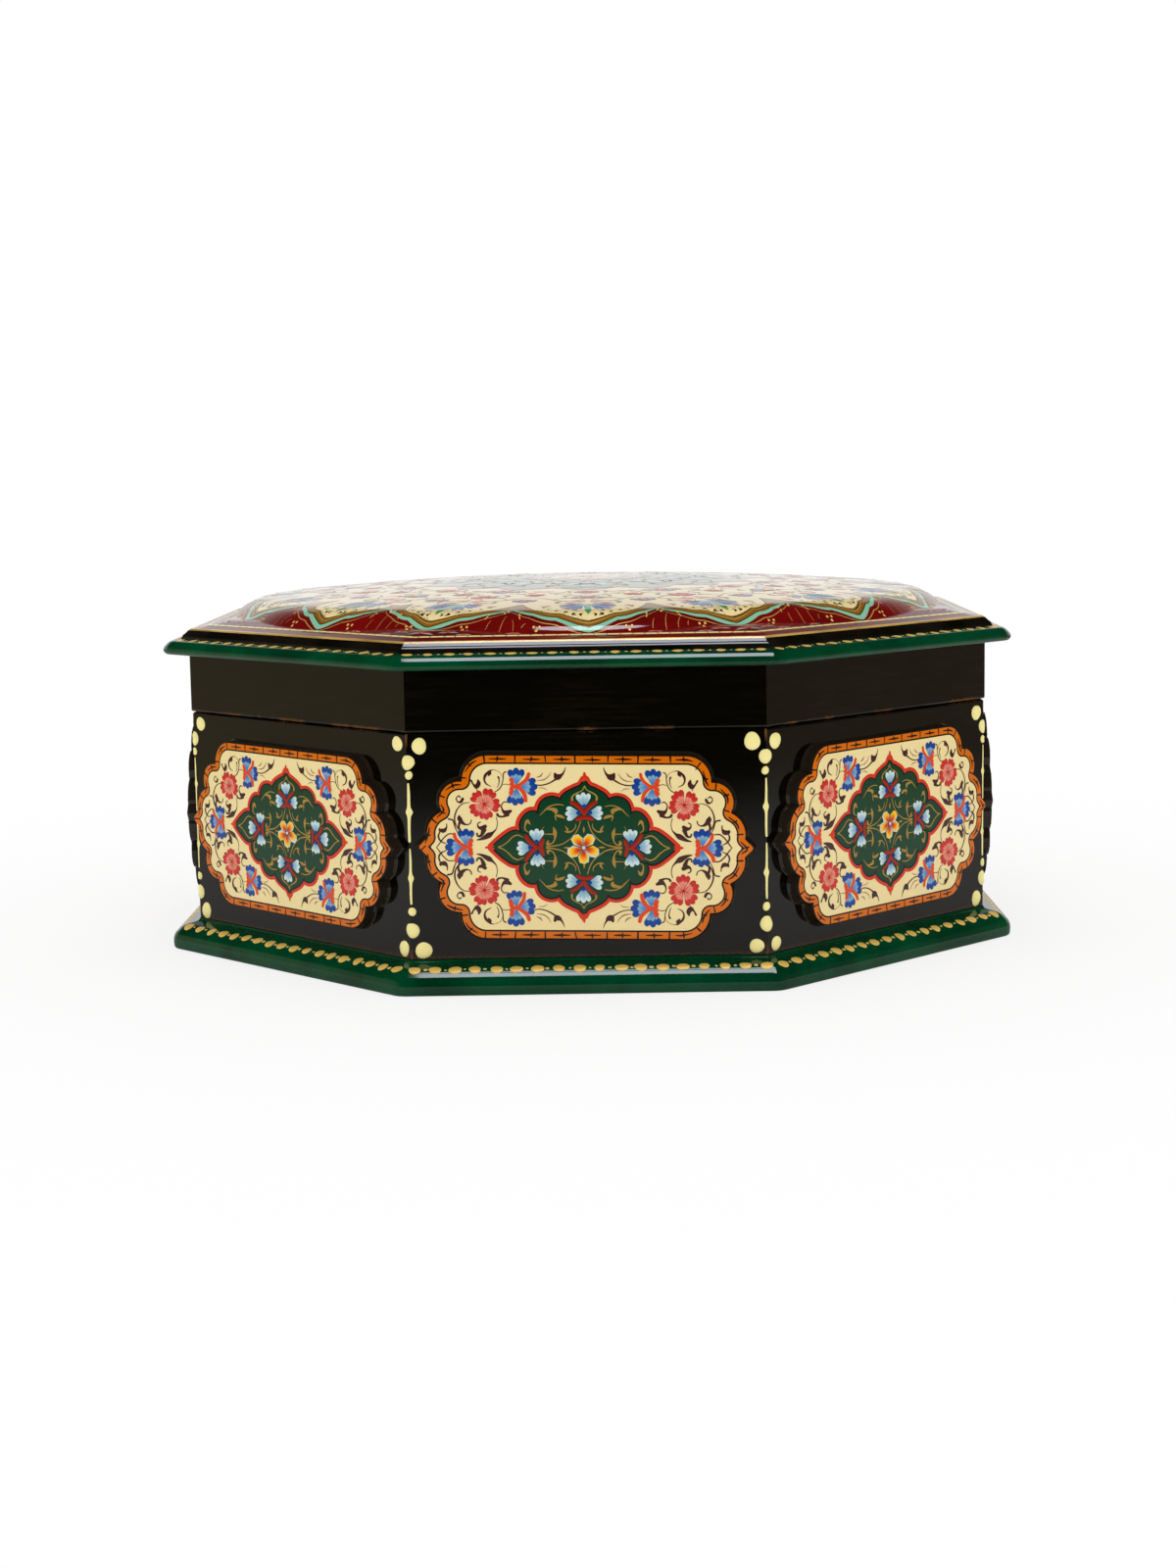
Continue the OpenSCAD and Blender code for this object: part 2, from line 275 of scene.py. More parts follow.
# Black lacquer on wood, thin and brown along the corners, the seam and the band's lower edge
def makeBlackLacquer():
    shader = Shader(bpy.data.materials.new("black_lacquer"), {**lacquer, "Coat Roughness": 0.08})
    place = shader.place()
    x, y, z = shader.parts(place)
    bearing = shader.maths("ARCTAN2", y, x)
    offset = bearing - shader.maths("ROUND", bearing / eighth) * eighth
    radius = shader.maths("SQRT", x * x + y * y)
    along = radius * shader.maths("SINE", offset)
    across = radius * shader.maths("COSINE", offset)
    edge = across * halfTan - abs(along)
    grain = shader.noise(shader.joined(along * wear["grainStretch"], across, z), wear["grainScale"], 4)
    cloud = shader.noise(place, wear["cloudScale"], 3)
    speckle = shader.noise(place, wear["speckleScale"], 3, 0.7)
    patchy = shader.ramp(shader.noise(place, wear["patchScale"], 2), *wear["patchRamp"])
    streaks = shader.ramp(grain * 0.7 + cloud * 0.5, *wear["streakRamp"])
    colour = shader.mixed(streaks, rgba(tones["black"]), rgba(tones["streak"]))
    # The corners are bare only near their ends
    ends = shader.ramp(abs(z - wear["wallMiddle"]), *wear["endRamp"]) * shader.ramp(z, *wear["topRamp"])
    corner = shader.ramp(edge + (speckle - 0.5) * wear["cornerBreak"], *wear["cornerRamp"]) * ends
    broken = (speckle - 0.5) * wear["edgeBreak"]
    lower = shader.ramp(abs(z - wear["bandFoot"]) + broken, *wear["bandRamp"]) * patchy
    seam = shader.ramp(abs(z - wear["seam"]), *wear["seamRamp"]) * wear["halfWorn"]
    foot = shader.ramp(z + broken, *wear["footRamp"]) * shader.ramp(speckle, *wear["footSpeckle"])
    worn = shader.maths("MAXIMUM", corner, lower * shader.ramp(across, *wear["outerRamp"]))
    worn = shader.maths("MAXIMUM", worn, foot * wear["halfWorn"])
    colour = shader.mixed(worn, colour, rgba(tones["bareWood"]))
    colour = shader.mixed(seam, colour, rgba(tones["rimWood"]))
    bare = shader.maths("MAXIMUM", worn, seam)
    return shader.dress(
        Base_Color=colour,
        Roughness=wear["roughness"] + bare * wear["bareRoughness"],
        Coat_Weight=1 - bare * wear["coatLoss"],
        Normal=shader.bump(coatWaves(shader, place) + grain * wear["grainRelief"], wear["relief"]),
    )


coat = dict(
    cloudScale=60, fineScale=2600, cloudRamp=(0.35, 0.75), fineShare=0.3, dirtScale=420, dirtRamp=(0.70, 0.78),
    roughness=0.4, fineRoughness=0.15, relief=0.0001,
)


# A painted coat: one tone with clouds, brush streaks and a little dirt
def makeCoat(name, tone, shadeTone, dirt=0.25, constants=lacquer):
    shader = Shader(bpy.data.materials.new(name), constants)
    place = shader.place()
    cloud = shader.noise(place, coat["cloudScale"], 4)
    fine = shader.noise(place, coat["fineScale"], 2)
    clouds = shader.ramp(cloud + (fine - 0.5) * coat["fineShare"], *coat["cloudRamp"])
    spots = shader.ramp(shader.noise(place, coat["dirtScale"], 3, 0.7), *coat["dirtRamp"]) * dirt
    colour = shader.mixed(spots, shader.mixed(clouds, rgba(tone), rgba(shadeTone)), rgba(tones["ink"]))
    return shader.dress(
        Base_Color=colour,
        Roughness=coat["roughness"] + fine * coat["fineRoughness"],
        Normal=shader.bump(coatWaves(shader, place), coat["relief"]),
    )


brushed = dict(
    fineScale=1700, cloudScale=130, ramp=(0.5, 0.95), darker=(0.62, 0.58, 0.52, 1),
    roughness=0.34, fineRoughness=0.2, fineRelief=0.02, relief=0.00008,
)


# Brushed colours, taken point by point from the painting
def makePaint(name, constants, tint=0.16):
    shader = Shader(bpy.data.materials.new(name), constants)
    place = shader.place()
    tone = shader.add("ShaderNodeAttribute", {}, "Color", attribute_name="tone")
    fine = shader.noise(place, brushed["fineScale"], 3)
    cloud = shader.noise(place, brushed["cloudScale"], 3)
    inputs = {0: 1.0, 6: tone, 7: brushed["darker"]}
    dark = shader.add("ShaderNodeMix", inputs, 2, data_type="RGBA", blend_type="MULTIPLY")
    share = shader.ramp(fine * 0.6 + cloud * 0.6, *brushed["ramp"]) * tint
    return shader.dress(
        Base_Color=shader.mixed(share, tone, dark),
        Roughness=brushed["roughness"] + fine * brushed["fineRoughness"],
        Normal=shader.bump(coatWaves(shader, place) + fine * brushed["fineRelief"], brushed["relief"]),
    )


pile = {"Sheen Weight": 0.6, "Sheen Roughness": 0.35, "Sheen Tint": (0.95, 0.45, 0.5, 1), "Specular IOR Level": 0.1}


# Velvet with a fine nap that lies in broad brushed patches
def makeVelvet():
    shader = Shader(bpy.data.materials.new("velvet"), pile)
    place = shader.place()
    nap = shader.noise(place, 5200, 2)
    patches = shader.ramp(shader.noise(place, 45, 4) + (nap - 0.5) * 0.5, 0.3, 0.75)
    colour = shader.mixed(patches, rgba(tones["velvet"]), rgba(tones["darkVelvet"]))
    return shader.dress(Base_Color=colour, Roughness=0.85 + nap * 0.1, Normal=shader.bump(nap, 0.00025))


# Brass brushed along the hinges, dull in clouds
def makeBrass():
    shader = Shader(bpy.data.materials.new("brass"), {"Metallic": 1.0})
    place = shader.place()
    x, y, z = shader.parts(place)
    lines = shader.noise(shader.joined(x * 0.05, y, z), 5000, 3)
    dull = shader.ramp(shader.noise(place, 300, 3), 0.4, 0.75)
    colour = shader.mixed(dull, rgba(tones["brass"]), rgba(tones["darkBrass"]))
    return shader.dress(Base_Color=colour, Roughness=0.28 + lines * 0.22, Normal=shader.bump(lines, 0.00002))


blackLacquer = makeBlackLacquer()
greenCoat = makeCoat("green_coat", tones["green"], tones["deepGreen"])
# The cap's crimson and its painting carry the sheen that paints the room's reflection over them at grazing angles
crimsonCoat = makeCoat("crimson_coat", tones["crimson"], tones["darkCrimson"], constants={**lacquer, **reflectionVeil})
blackCoat = makeCoat("black_coat", tones["black"], tones["softBlack"])
goldSheen = {**lacquer, "Metallic": 0.5, "Coat Roughness": 0.12}
goldEdge = makeCoat("gold_edge", tones["gold"], tones["goldDark"], 0.5, goldSheen)
paint = makePaint("paint", lacquer)
capPaint = makePaint("cap_paint", {**lacquer, **reflectionVeil})
goldGloss = {"Metallic": 0.25, "Coat Weight": 0.6, "Coat Roughness": 0.12, "Specular IOR Level": 0.3}
goldPaint = makePaint("gold_paint", goldGloss, 0.3)
velvet = makeVelvet()
brass = makeBrass()
print("materials ready")

# Meshes, and the moulded boards that are swept from them


# An object on the origin whose place is in its mesh, from points in millimetres
def makePiece(name, points, faces, materials, smoothAngle=None, zones=None):
    mesh = bpy.data.meshes.new(name)
    mesh.from_pydata((np.asarray(points) * mm).tolist(), [], faces)
    for material in materials:
        mesh.materials.append(material)
    if zones is not None:
        mesh.polygons.foreach_set("material_index", np.asarray(zones, dtype=np.int32))
    mesh.polygons.foreach_set("use_smooth", np.ones(len(mesh.polygons), dtype=bool))
    if smoothAngle:
        mesh.set_sharp_from_angle(angle=radians(smoothAngle))
    mesh.update()
    return linked(name, mesh)


# Quads of a grid of point numbers, facing along row direction x column direction
def gridFaces(index, closed):
    after = np.roll(index, -1, axis=1) if closed else index[:, 1:]
    before = index if closed else index[:, :-1]
    quads = np.stack([before[:-1], before[1:], after[1:], after[:-1]], axis=-1)
    return quads.reshape(-1, 4)


# Centre angle and unit vectors of side k: outwards and along, to the right as seen from outside
def sideFrame(k):
    angle = -np.pi / 2 + k * eighth
    return np.array([np.cos(angle), np.sin(angle)]), np.array([-np.sin(angle), np.cos(angle)])


# Closed eight-sided ring with rounded corners: a straight side, then the arc of the corner after it, turned to
# all eight places; the arcs' centres lie at the side's distance less their radius
def octagonRing(apothem, cornerR, perSide=6, perCorner=7):
    cornerR = min(cornerR, apothem * 0.5)
    inner = apothem - cornerR
    reach = inner * halfTan
    angle = -np.pi / 2 + eighth * np.arange(1, perCorner) / perCorner
    x = np.concatenate([np.linspace(-reach, reach, perSide), reach + cornerR * np.cos(angle)])
    y = np.concatenate([np.full(perSide, -apothem), cornerR * np.sin(angle) - inner])
    cos, sin = np.cos(eighth * np.arange(8)[:, None]), np.sin(eighth * np.arange(8)[:, None])
    return np.stack([x * cos - y * sin, x * sin + y * cos], axis=-1).reshape(-1, 2)


# A profile of (distance from the centre, height) swept around the eight sides: one ring for each of its points,
# with the corner's radius read from a line of (distance, radius)
def sweepOctagon(name, profile, zones, materials, cornerR, smoothAngle=28, capInner=False):
    rings = [octagonRing(max(a, 0.5), np.interp(a, *cornerR)) for a, z in profile]
    count = len(rings[0])
    points = np.concatenate([np.column_stack([ring, np.full(count, z)]) for ring, (a, z) in zip(rings, profile)])
    index = np.arange(len(points)).reshape(len(profile), count)
    # The profile runs from the underside outwards and up, so its faces point out when the columns run back
    quads = gridFaces(index[:, ::-1], True)
    faces = [tuple(quad) for quad in quads.tolist()]
    numbers = np.repeat(zones, count).tolist()
    if capInner:
        faces.append(tuple(index[0].tolist()[::-1]))
        numbers.append(zones[0])
    return makePiece(name, points, faces, materials, smoothAngle, numbers)


# Smooth curve through control rows: cubic between each two, its slope at a row half the step from the row before
# to the row after; a last column of widths is smoothed with it
def smoothed(rows, steps=6):
    rows = np.asarray(rows, float)
    if len(rows) < 3:
        share = np.linspace(0, 1, steps + 1)[:, None]
        return rows[0] * (1 - share) + rows[-1] * share
    padded = np.vstack([2 * rows[0] - rows[1], rows, 2 * rows[-1] - rows[-2]])
    result = []
    for a, b, c, d in zip(padded, padded[1:], padded[2:], padded[3:]):
        t = np.arange(steps)[:, None] / steps
        bend, twist = 2 * a - 5 * b + 4 * c - d, 3 * b - a - 3 * c + d
        result.append(0.5 * (2 * b + (c - a) * t + bend * t**2 + twist * t**3))
    return np.vstack(result + [rows[-1:]])


# Distances from the centre to the walls and the lid's band, heights of the lid board and its gold edge, corner
# radii as (distances), (radii); footFillet runs on from baseEdge, and goldEdge is measured from the band and goldZ
box = dict(
    bodyA=100.0, bandA=100.3, lidZ=75.2, goldZ=81.2,
    baseCorner=((100.6, 106.9), (0.6, 5.0)), lidCorner=((102.4, 106.8), (0.7, 7.0)),
    cove=[(102.1, 3.95), (101.95, 4.3), (101.65, 4.76), (101.2, 5.07), (100.8, 5.45), (100.38, 5.85)],
    footFillet=[(99.9, 7.6), (99.4, 7.01)],
    goldEdge=[(0.04, -0.28), (-0.19, -0.06), (-0.42, 0.16), (-0.8, 0.24), (-1.35, 0.25), (-1.4, 0.0)],
)
# Distance from the centre and height along each moulded edge, from underneath outwards and up
baseEdge = [
    (40, 0), (106.1, 0), (106.5, 0.12), (106.78, 0.5), (106.88, 1.2), (106.88, 2.2), (106.72, 3.1), (106.38, 3.85),
    (105.9, 4.35), (105.28, 4.9), (104.65, 5.45), (103.8, 5.87), (102.8, 6.18), (101.8, 6.42), (101.1, 6.6),
    (100.66, 6.74), (100.36, 6.98), (100.18, 7.35),
]
lidEdge = [
    (60, 0), (105.6, 0), (106.1, 0.08), (106.45, 0.34), (106.7, 0.7), (106.8, 1.1), (106.74, 1.45), (106.5, 1.86),
    (106.12, 2.28), (105.79, 2.59), (105.46, 2.9), (104.85, 3.24), (104.0, 3.44), (103.1, 3.57), (102.2, 3.7),
]


# Puts a piece on a body
def ride(piece, body):
    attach(piece, body)
    return piece


# Base board: a green nose and slope, and a black fillet of lacquer against the walls
def makeBase():
    profile = baseEdge[:2] + smoothed(baseEdge[1:], 3)[1:].tolist() + box["footFillet"]
    zones = [1] + [0] * (len(profile) - 4) + [1, 1]
    piece = sweepOctagon("base_moulding", profile, zones, [greenCoat, blackCoat], box["baseCorner"], capInner=True)
    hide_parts("base_board")
    ride(piece, "box")
    return profile


# Lid board: green nose and slope, black cove, gold edge that laps over onto the ledge
def makeLidBoard():
    green = lidEdge[:2] + smoothed(lidEdge[1:], 3)[1:].tolist()
    gold = [(box["bandA"] + a, box["goldZ"] - box["lidZ"] + z) for a, z in box["goldEdge"]]
    zones = [0] * (len(green) - 1) + [1] * len(box["cove"]) + [2] * len(gold)
    raised = [(a, z + box["lidZ"]) for a, z in green + box["cove"] + gold]
    piece = sweepOctagon("lid_moulding", raised, zones, [greenCoat, blackCoat, goldEdge], box["lidCorner"])
    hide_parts("lid_board")
    ride(piece, "lid")
    return raised


baseProfile = makeBase()
lidProfile = makeLidBoard()

# Domed cap

# Crown and shoulder radii, how far in the shoulder's centre lies, height over the gold edge, ledge, widths of the
# rounded creases; then the rings of the mesh as spans of radius and step, and those over the ledge
cap = dict(
    crownR=1000.0, shoulderR=13.5, shoulderIn=16.6, height=9.58, goldW=0.4, slope=0.2, foot=0.8, hip=0.8,
    flatIn=90, columns=384, rings=((4, 80, 4), (80, 92, 1.0), (92, 96.6, 0.3)), ledgeRings=14, rimGap=0.25,
)


# Greater of two surfaces, with a parabola of the given width over the crease between them
def softMax(first, second, width):
    gap = np.clip(1 - np.abs(first - second) / width, 0, 1)
    return np.maximum(first, second) + gap**2 * width / 4


# Distance towards the nearest side: the greatest of the eight reaches, its creases rounded
def apothemOf(x, y):
    result = None
    for k in range(8):
        out, _ = sideFrame(k)
        reach = x * out[0] + y * out[1]
        result = reach if result is None else softMax(result, reach, cap["hip"])
    return result


# Height of the cap: the greater of a ledge that falls evenly with the distance to the sides, and a dome, which is a
# sphere of crownR up to where it meets a ring of radius shoulderR that turns down inside it
def capHeight(x, y):
    radius = np.hypot(x, y)
    ledge = cap["slope"] * (box["bandA"] - cap["goldW"] - np.maximum(apothemOf(x, y), cap["flatIn"]))
    crownZ = cap["height"] - cap["crownR"]
    shoulderX = box["bandA"] - cap["shoulderIn"]
    shoulderZ = crownZ + np.sqrt((cap["crownR"] - cap["shoulderR"]) ** 2 - shoulderX**2)
    turn = np.arctan2(shoulderX, shoulderZ - crownZ)
    crown = crownZ + np.sqrt(cap["crownR"] ** 2 - radius**2)
    beyond = np.clip(radius - shoulderX, -cap["shoulderR"], cap["shoulderR"])
    shoulder = shoulderZ + np.sqrt(cap["shoulderR"] ** 2 - beyond**2)
    dome = np.where(radius < cap["crownR"] * np.sin(turn), crown, shoulder)
    dome = np.where(radius > shoulderX + cap["shoulderR"], -9.0, dome)
    return box["goldZ"] + softMax(ledge, dome, cap["foot"])


# The cap as rings of points: circles over the dome, then rings that blend from the last circle to the eight-sided
# rim, whose radius is its distance over the cosine of the angle from the middle of the side
def makeCap():
    angles = np.arange(cap["columns"]) / cap["columns"] * 2 * np.pi
    circles = np.concatenate([np.arange(*span) for span in cap["rings"]])[:, None]
    rim = (box["bandA"] - cap["rimGap"]) / np.cos((angles + eighth / 2) % eighth - eighth / 2)
    share = np.linspace(0, 1, cap["ledgeRings"] + 1)[1:, None]
    radius = np.vstack([circles + 0 * angles, circles[-1] + (rim - circles[-1]) * share])
    x = np.append(0.0, radius * np.cos(angles))
    y = np.append(0.0, radius * np.sin(angles))
    index = 1 + np.arange(radius.size).reshape(radius.shape)
    hub = [(0, a, b) for a, b in zip(index[0].tolist(), np.roll(index[0], -1).tolist())]
    faces = [tuple(quad) for quad in gridFaces(index, True).tolist()] + hub
    piece = makePiece("cap", np.column_stack([x, y, capHeight(x, y)]), faces, [crimsonCoat])
    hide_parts("lid_dome")
    ride(piece, "lid")


makeCap()
print("mouldings and cap ready")

# Brushwork


# Keeps painted patches until they become one piece
class Canvas:
    def __init__(self, place, seed=1):
        self.place = place
        self.rng = np.random.default_rng(seed)
        self.points = []
        self.faces = []
        self.tones = []
        self.count = 0

    # A grid of points (u, v, lift); a fan has its first row in one point
    def patch(self, u, v, lift, tone, closed=False, fan=False):
        u, v, lift = np.broadcast_arrays(u, v, lift)
        shape = u.shape
        colour = np.broadcast_to(np.asarray(tone, float), (*shape, 3)).reshape(-1, 3)
        points = self.place(u, v, lift).reshape(-1, 3)
        index = np.arange(u.size).reshape(shape)
        if fan:
            keep = np.concatenate([[0], np.arange(shape[1], u.size)])
            points, colour = points[keep], colour[keep]
            index = np.maximum(index - shape[1] + 1, 0)
        index = index + self.count
        quads = gridFaces(index[1:] if fan else index, closed)
        self.faces += [tuple(quad) for quad in quads.tolist()]
        if fan:
            ring = index[1]
            after = np.roll(ring, -1) if closed else ring[1:]
            before = ring if closed else ring[:-1]
            self.faces += [(int(index[0][0]), a, b) for a, b in zip(before.tolist(), after.tolist())]
        self.points.append(points)
        self.tones.append(colour)
        self.count += len(points)

    def build(self, name, material, body, slot):
        tone = linear(np.concatenate(self.tones))
        piece = makePiece(name, np.concatenate(self.points), self.faces, [material])
        colour = piece.data.color_attributes.new("tone", "FLOAT_COLOR", "POINT")
        colour.data.foreach_set("color", np.column_stack([tone, np.ones(len(tone))]).astype(np.float32).ravel())
        return ride(piece, body)


# Draws on a canvas through a turn, a size and a mirror
class Brush:
    def __init__(self, canvas, matrix=np.eye(2), offset=(0.0, 0.0), rise=0.0):
        self.canvas = canvas
        self.matrix = np.asarray(matrix, float)
        self.offset = np.asarray(offset, float)
        self.rise = rise

    def moved(self, centre=(0, 0), turn=0.0, size=1.0, mirror=(1, 1)):
        angle = radians(turn)
        spin = np.array([[np.cos(angle), -np.sin(angle)], [np.sin(angle), np.cos(angle)]])
        matrix = self.matrix @ spin @ np.diag(np.multiply(mirror, size))
        return Brush(self.canvas, matrix, self.offset + self.matrix @ np.asarray(centre, float), self.rise)

    def patch(self, u, v, lift, tone, closed=False, fan=False):
        u, v, lift = (np.array(values) for values in np.broadcast_arrays(u, v, lift))
        tone = np.broadcast_to(np.asarray(tone, float), (*u.shape, 3))
        if np.linalg.det(self.matrix) < 0:
            u, v, lift, tone = u[:, ::-1], v[:, ::-1], lift[:, ::-1], tone[:, ::-1]
        x = self.matrix[0, 0] * u + self.matrix[0, 1] * v + self.offset[0]
        y = self.matrix[1, 0] * u + self.matrix[1, 1] * v + self.offset[1]
        self.canvas.patch(x, y, lift + self.rise, tone, closed, fan)

    # A stroke of changing width with rounded ends: three rows of points half a width to either side of a smooth
    # line and on it, raised by height x (1 - place across squared)
    def stroke(self, rows, tone, lift=0.06, height=0.03, steps=5, shake=0.06):
        rng = self.canvas.rng
        rows = np.array(rows, float)
        rows[:, :2] += rng.normal(0, shake, 2)
        rows[:, 2] *= rng.uniform(0.88, 1.15)
        line = smoothed(rows, steps)
        width = np.maximum(line[:, 2], 0.04)
        path = line[:, :2]
        step = np.gradient(path, axis=0)
        step /= np.maximum(np.hypot(step[:, 0], step[:, 1]), 1e-9)[:, None]
        # Two short rows at either end round it off: how far on, and how wide, as shares of the width before
        for row, sign in ((0, -1), (-1, 1)):
            for reach, share in ((0.32, 0.8), (0.18, 0.3)):
                extra = path[row] + sign * step[row] * width[row] * reach
                tip = width[row] * share
                if sign < 0:
                    path, step, width = np.vstack([extra, path]), np.vstack([step[0], step]), np.append(tip, width)
                else:
                    path, step, width = np.vstack([path, extra]), np.vstack([step, step[-1]]), np.append(width, tip)
        side = np.array([-1.0, 0.0, 1.0])
        normal = np.column_stack([-step[:, 1], step[:, 0]])
        u = path[:, :1] + normal[:, :1] * side * width[:, None] / 2
        v = path[:, 1:] + normal[:, 1:] * side * width[:, None] / 2
        rise = height * (1 - side**2) * (width / width.max())[:, None]
        self.patch(u, v, lift + rise, tone)

    # A rounded drop of thick paint
    # (radius = size x a wavering circle, height = the root of 1 - reach squared)
    def drop(self, centre, size, tone, lift=0.0, height=0.3, turn=0.0, columns=14, edge=-0.02, uneven=0.05):
        rng = self.canvas.rng
        angle = np.arange(columns) / columns * 2 * np.pi
        wobble = 1 + uneven * (np.sin(2 * angle + rng.uniform(0, 6)) + 0.6 * np.sin(3 * angle + rng.uniform(0, 6)))
        reach = np.array([0, 0.55, 0.86, 1.0])[:, None]
        x = reach * np.cos(angle) * wobble * size[0] / 2
        y = reach * np.sin(angle) * wobble * size[1] / 2
        cos, sin = np.cos(radians(turn)), np.sin(radians(turn))
        rise = np.where(reach < 1, height * np.sqrt(1 - reach**2), edge) + 0 * angle
        self.patch(centre[0] + x * cos - y * sin, centre[1] + x * sin + y * cos, lift + rise, tone, True, True)

    # A petal from its base, with tones at stops of its reach: radius = reach x length x an outline of scallops,
    # angle = turn + spread x place across, height = a sine over the reach
    def petal(
        self, base, turn, length, spread, stops, scallops=3, depth=0.16, waist=0.0, lift=0.06, height=0.04, edge=0.0
    ):
        rng = self.canvas.rng
        across = np.linspace(-1, 1, 4 * scallops + 1)
        reach = np.array([stop[0] for stop in stops])[:, None]
        wave = across * np.pi * scallops / 2
        scallop = np.abs(np.cos(wave)) if scallops % 2 else np.abs(np.sin(wave))
        outline = 1 - depth * (1 - scallop**0.6) - edge * across**2
        angle = radians(turn + rng.normal(0, 2)) + radians(spread) * across * (1 + waist * (1 - reach))
        radius = reach * outline * length * rng.uniform(0.95, 1.05)
        tone = np.array([stop[1] for stop in stops], float)[:, None, :] + 0 * across[:, None]
        # Fine veins: every other column a little lighter, but not at the edge
        tone = tone + (7 * np.sin(np.arange(across.size) * np.pi / 2) * (reach < 0.9))[:, :, None]
        rise = height * np.sin(np.pi * reach**0.8) * (1 - 0.7 * across**4)
        u, v = base[0] + radius * np.cos(angle), base[1] + radius * np.sin(angle)
        self.patch(u, v, lift + rise, np.clip(tone, 0, 255), fan=True)


# Colour of a tone as an array, so that it can be lightened by adding
def tone(name):
    return np.array(tones[name], float)


# Stops of a petal from its base out, given as (reach, name of the tone, lighter by)
def shades(*stops):
    return [(reach, tone(name) + lighter) for reach, name, lighter in stops]


# Flowers seen from the side, their nose along +u: petals as (base, turn, length), strokes as rows of (u, v, width)
flowers = dict(
    blue=dict(
        stops=[(0, "blue", -8), (0.3, "blue", 14), (0.6, "sky", -8), (0.66, "navy", 0), (1, "navy", -6)],
        petals=[((0.6, 0), 0, 4.1), ((0.05, 0.35), 92, 4.0), ((0.0, -0.35), -94, 4.0)], spread=37, depth=0.14,
        ribbon="ribbon", drops=[(-1.23, 1.5), (-1.122, 0.6), (-1.11, -0.5), (-1.23, -1.5)],
        dropSize=(0.95, 1.15), dropTone=tone("ribbon"), dropLift=0.09,
        ribbons=[
            [(0, 0, 0.8), (1.0, 0.6, 0.75), (1.95, 1.85, 0.8), (2.25, 3.2, 0.75)],
            [(0, 0, 0.8), (1.1, -0.65, 0.75), (2.3, -1.8, 0.8), (2.7, -3.0, 0.75)],
            [(0.1, 0, 0.9), (-0.7, 0, 0.8)],
        ],
        collar=[(-0.9, 1.9, 0.4), (-0.75, 0.5, 0.6), (-0.75, -0.6, 0.6), (-0.95, -1.9, 0.4)],
    ),
    pale=dict(
        stops=[(0, "blue", 6), (0.32, "sky", -14), (0.68, "frost", 0), (0.8, "pale", 0), (1, "pale", 0)],
        petals=[((1.3, 0), 0, 3.9), ((0.1, 0.9), 92, 3.7), ((0.1, -0.9), -92, 3.7)], spread=36, depth=0.16,
        ribbon="darkRibbon", drops=[(1.75, 0), (0.1, 1.45), (0.1, -1.45)],
        dropSize=(1.05, 1.05), dropTone=tone("navy") - 10, dropLift=0.11,
        ribbons=[
            [(0, 0, 0.9), (1.3, 0.95, 0.85), (2.2, 2.0, 0.85), (2.8, 3.1, 0.7)],
            [(0, 0, 0.9), (1.2, -0.95, 0.85), (2.1, -2.0, 0.85), (2.6, -2.9, 0.7)],
        ],
        collar=[(-1.45, 1.9, 0.7), (-1.15, 1.1, 1.0), (-1.0, 0, 0.8), (-1.15, -1.1, 1.0), (-1.45, -1.9, 0.7)],
    ),
)


# Three scalloped petals, ribbons and drops between them, and a collar
def drawFlower(brush, kind):
    look = flowers[kind]
    for base, turn, length in look["petals"]:
        stops = shades(*look["stops"])
        brush.petal(base, turn, length, look["spread"], stops, depth=look["depth"], waist=0.1, edge=0.06)
    for rows in look["ribbons"]:
        brush.stroke(rows, tone(look["ribbon"]), 0.1)
    for centre in look["drops"]:
        brush.drop(centre, look["dropSize"], look["dropTone"], look["dropLift"], 0.05, edge=0.0, columns=10)
    brush.stroke(look["collar"], tone(look["ribbon"]), 0.1)


# Red rosette of five toothed petals, each with two light veins at its heart
rose = dict(
    stops=[(0, "rose", 0), (0.25, "rosePink", 0), (0.56, "roseLight", -6), (0.64, "rose", 10), (1, "rose", 0)],
    petals=5, firstTurn=55, length=3.75, spread=33, depth=0.12, layer=0.004,
    veins=((-0.22, 1.5), (0.22, 1.7)), heart=(0.55, 0.5),
)


def rosette(brush, turn=0):
    turns = turn + rose["firstTurn"] + 360 // rose["petals"] * np.arange(rose["petals"])
    stops, length, spread, depth = (rose[key] for key in ("stops", "length", "spread", "depth"))
    for k, angle in enumerate(turns):
        lift = 0.06 + rose["layer"] * k
        brush.petal((0, 0), angle, length, spread, shades(*stops), depth=depth, lift=lift, height=0.05, edge=0.12)
    for angle in np.radians(turns):
        for side, length in rose["veins"]:
            tip = length * np.cos(angle + side), length * np.sin(angle + side)
            start = 0.5 * np.cos(angle), 0.5 * np.sin(angle)
            brush.stroke([(*start, 0.1), (*tip, 0.22)], tone("roseLight"), 0.13, 0.02, 2)
    brush.drop((0, 0), rose["heart"], tone("rose") - 30, 0.13, 0.05, edge=0.0, columns=8)


# Yellow flower of five petals over white ones, which edge them, with a red heart
sun = dict(
    stops=[(0, "ember", 0), (0.4, "ember", (20, 20, 0)), (0.62, "amber", 0), (0.86, "yellow", 0), (1, "yellow", 0)],
    white=[(0, "pale", 0), (1, "pale", 0)], petals=5, off=0.25, eye=(0.85, 0.8),
)


def sunFlower(brush):
    for k in range(sun["petals"]):
        angle = 360 // sun["petals"] * k - 90
        inner = sun["off"] * np.cos(radians(angle)), sun["off"] * np.sin(radians(angle))
        brush.petal(inner, angle, 3.5, 38, shades(*sun["white"]), 1, 0.4, -0.1, 0.06)
        brush.petal(inner, angle, 3.3, 34, shades(*sun["stops"]), 1, 0.4, -0.1, 0.1)
    brush.drop((0.1, 0.1), sun["eye"], tone("pale"), 0.17, 0.08, edge=0.0, columns=10)


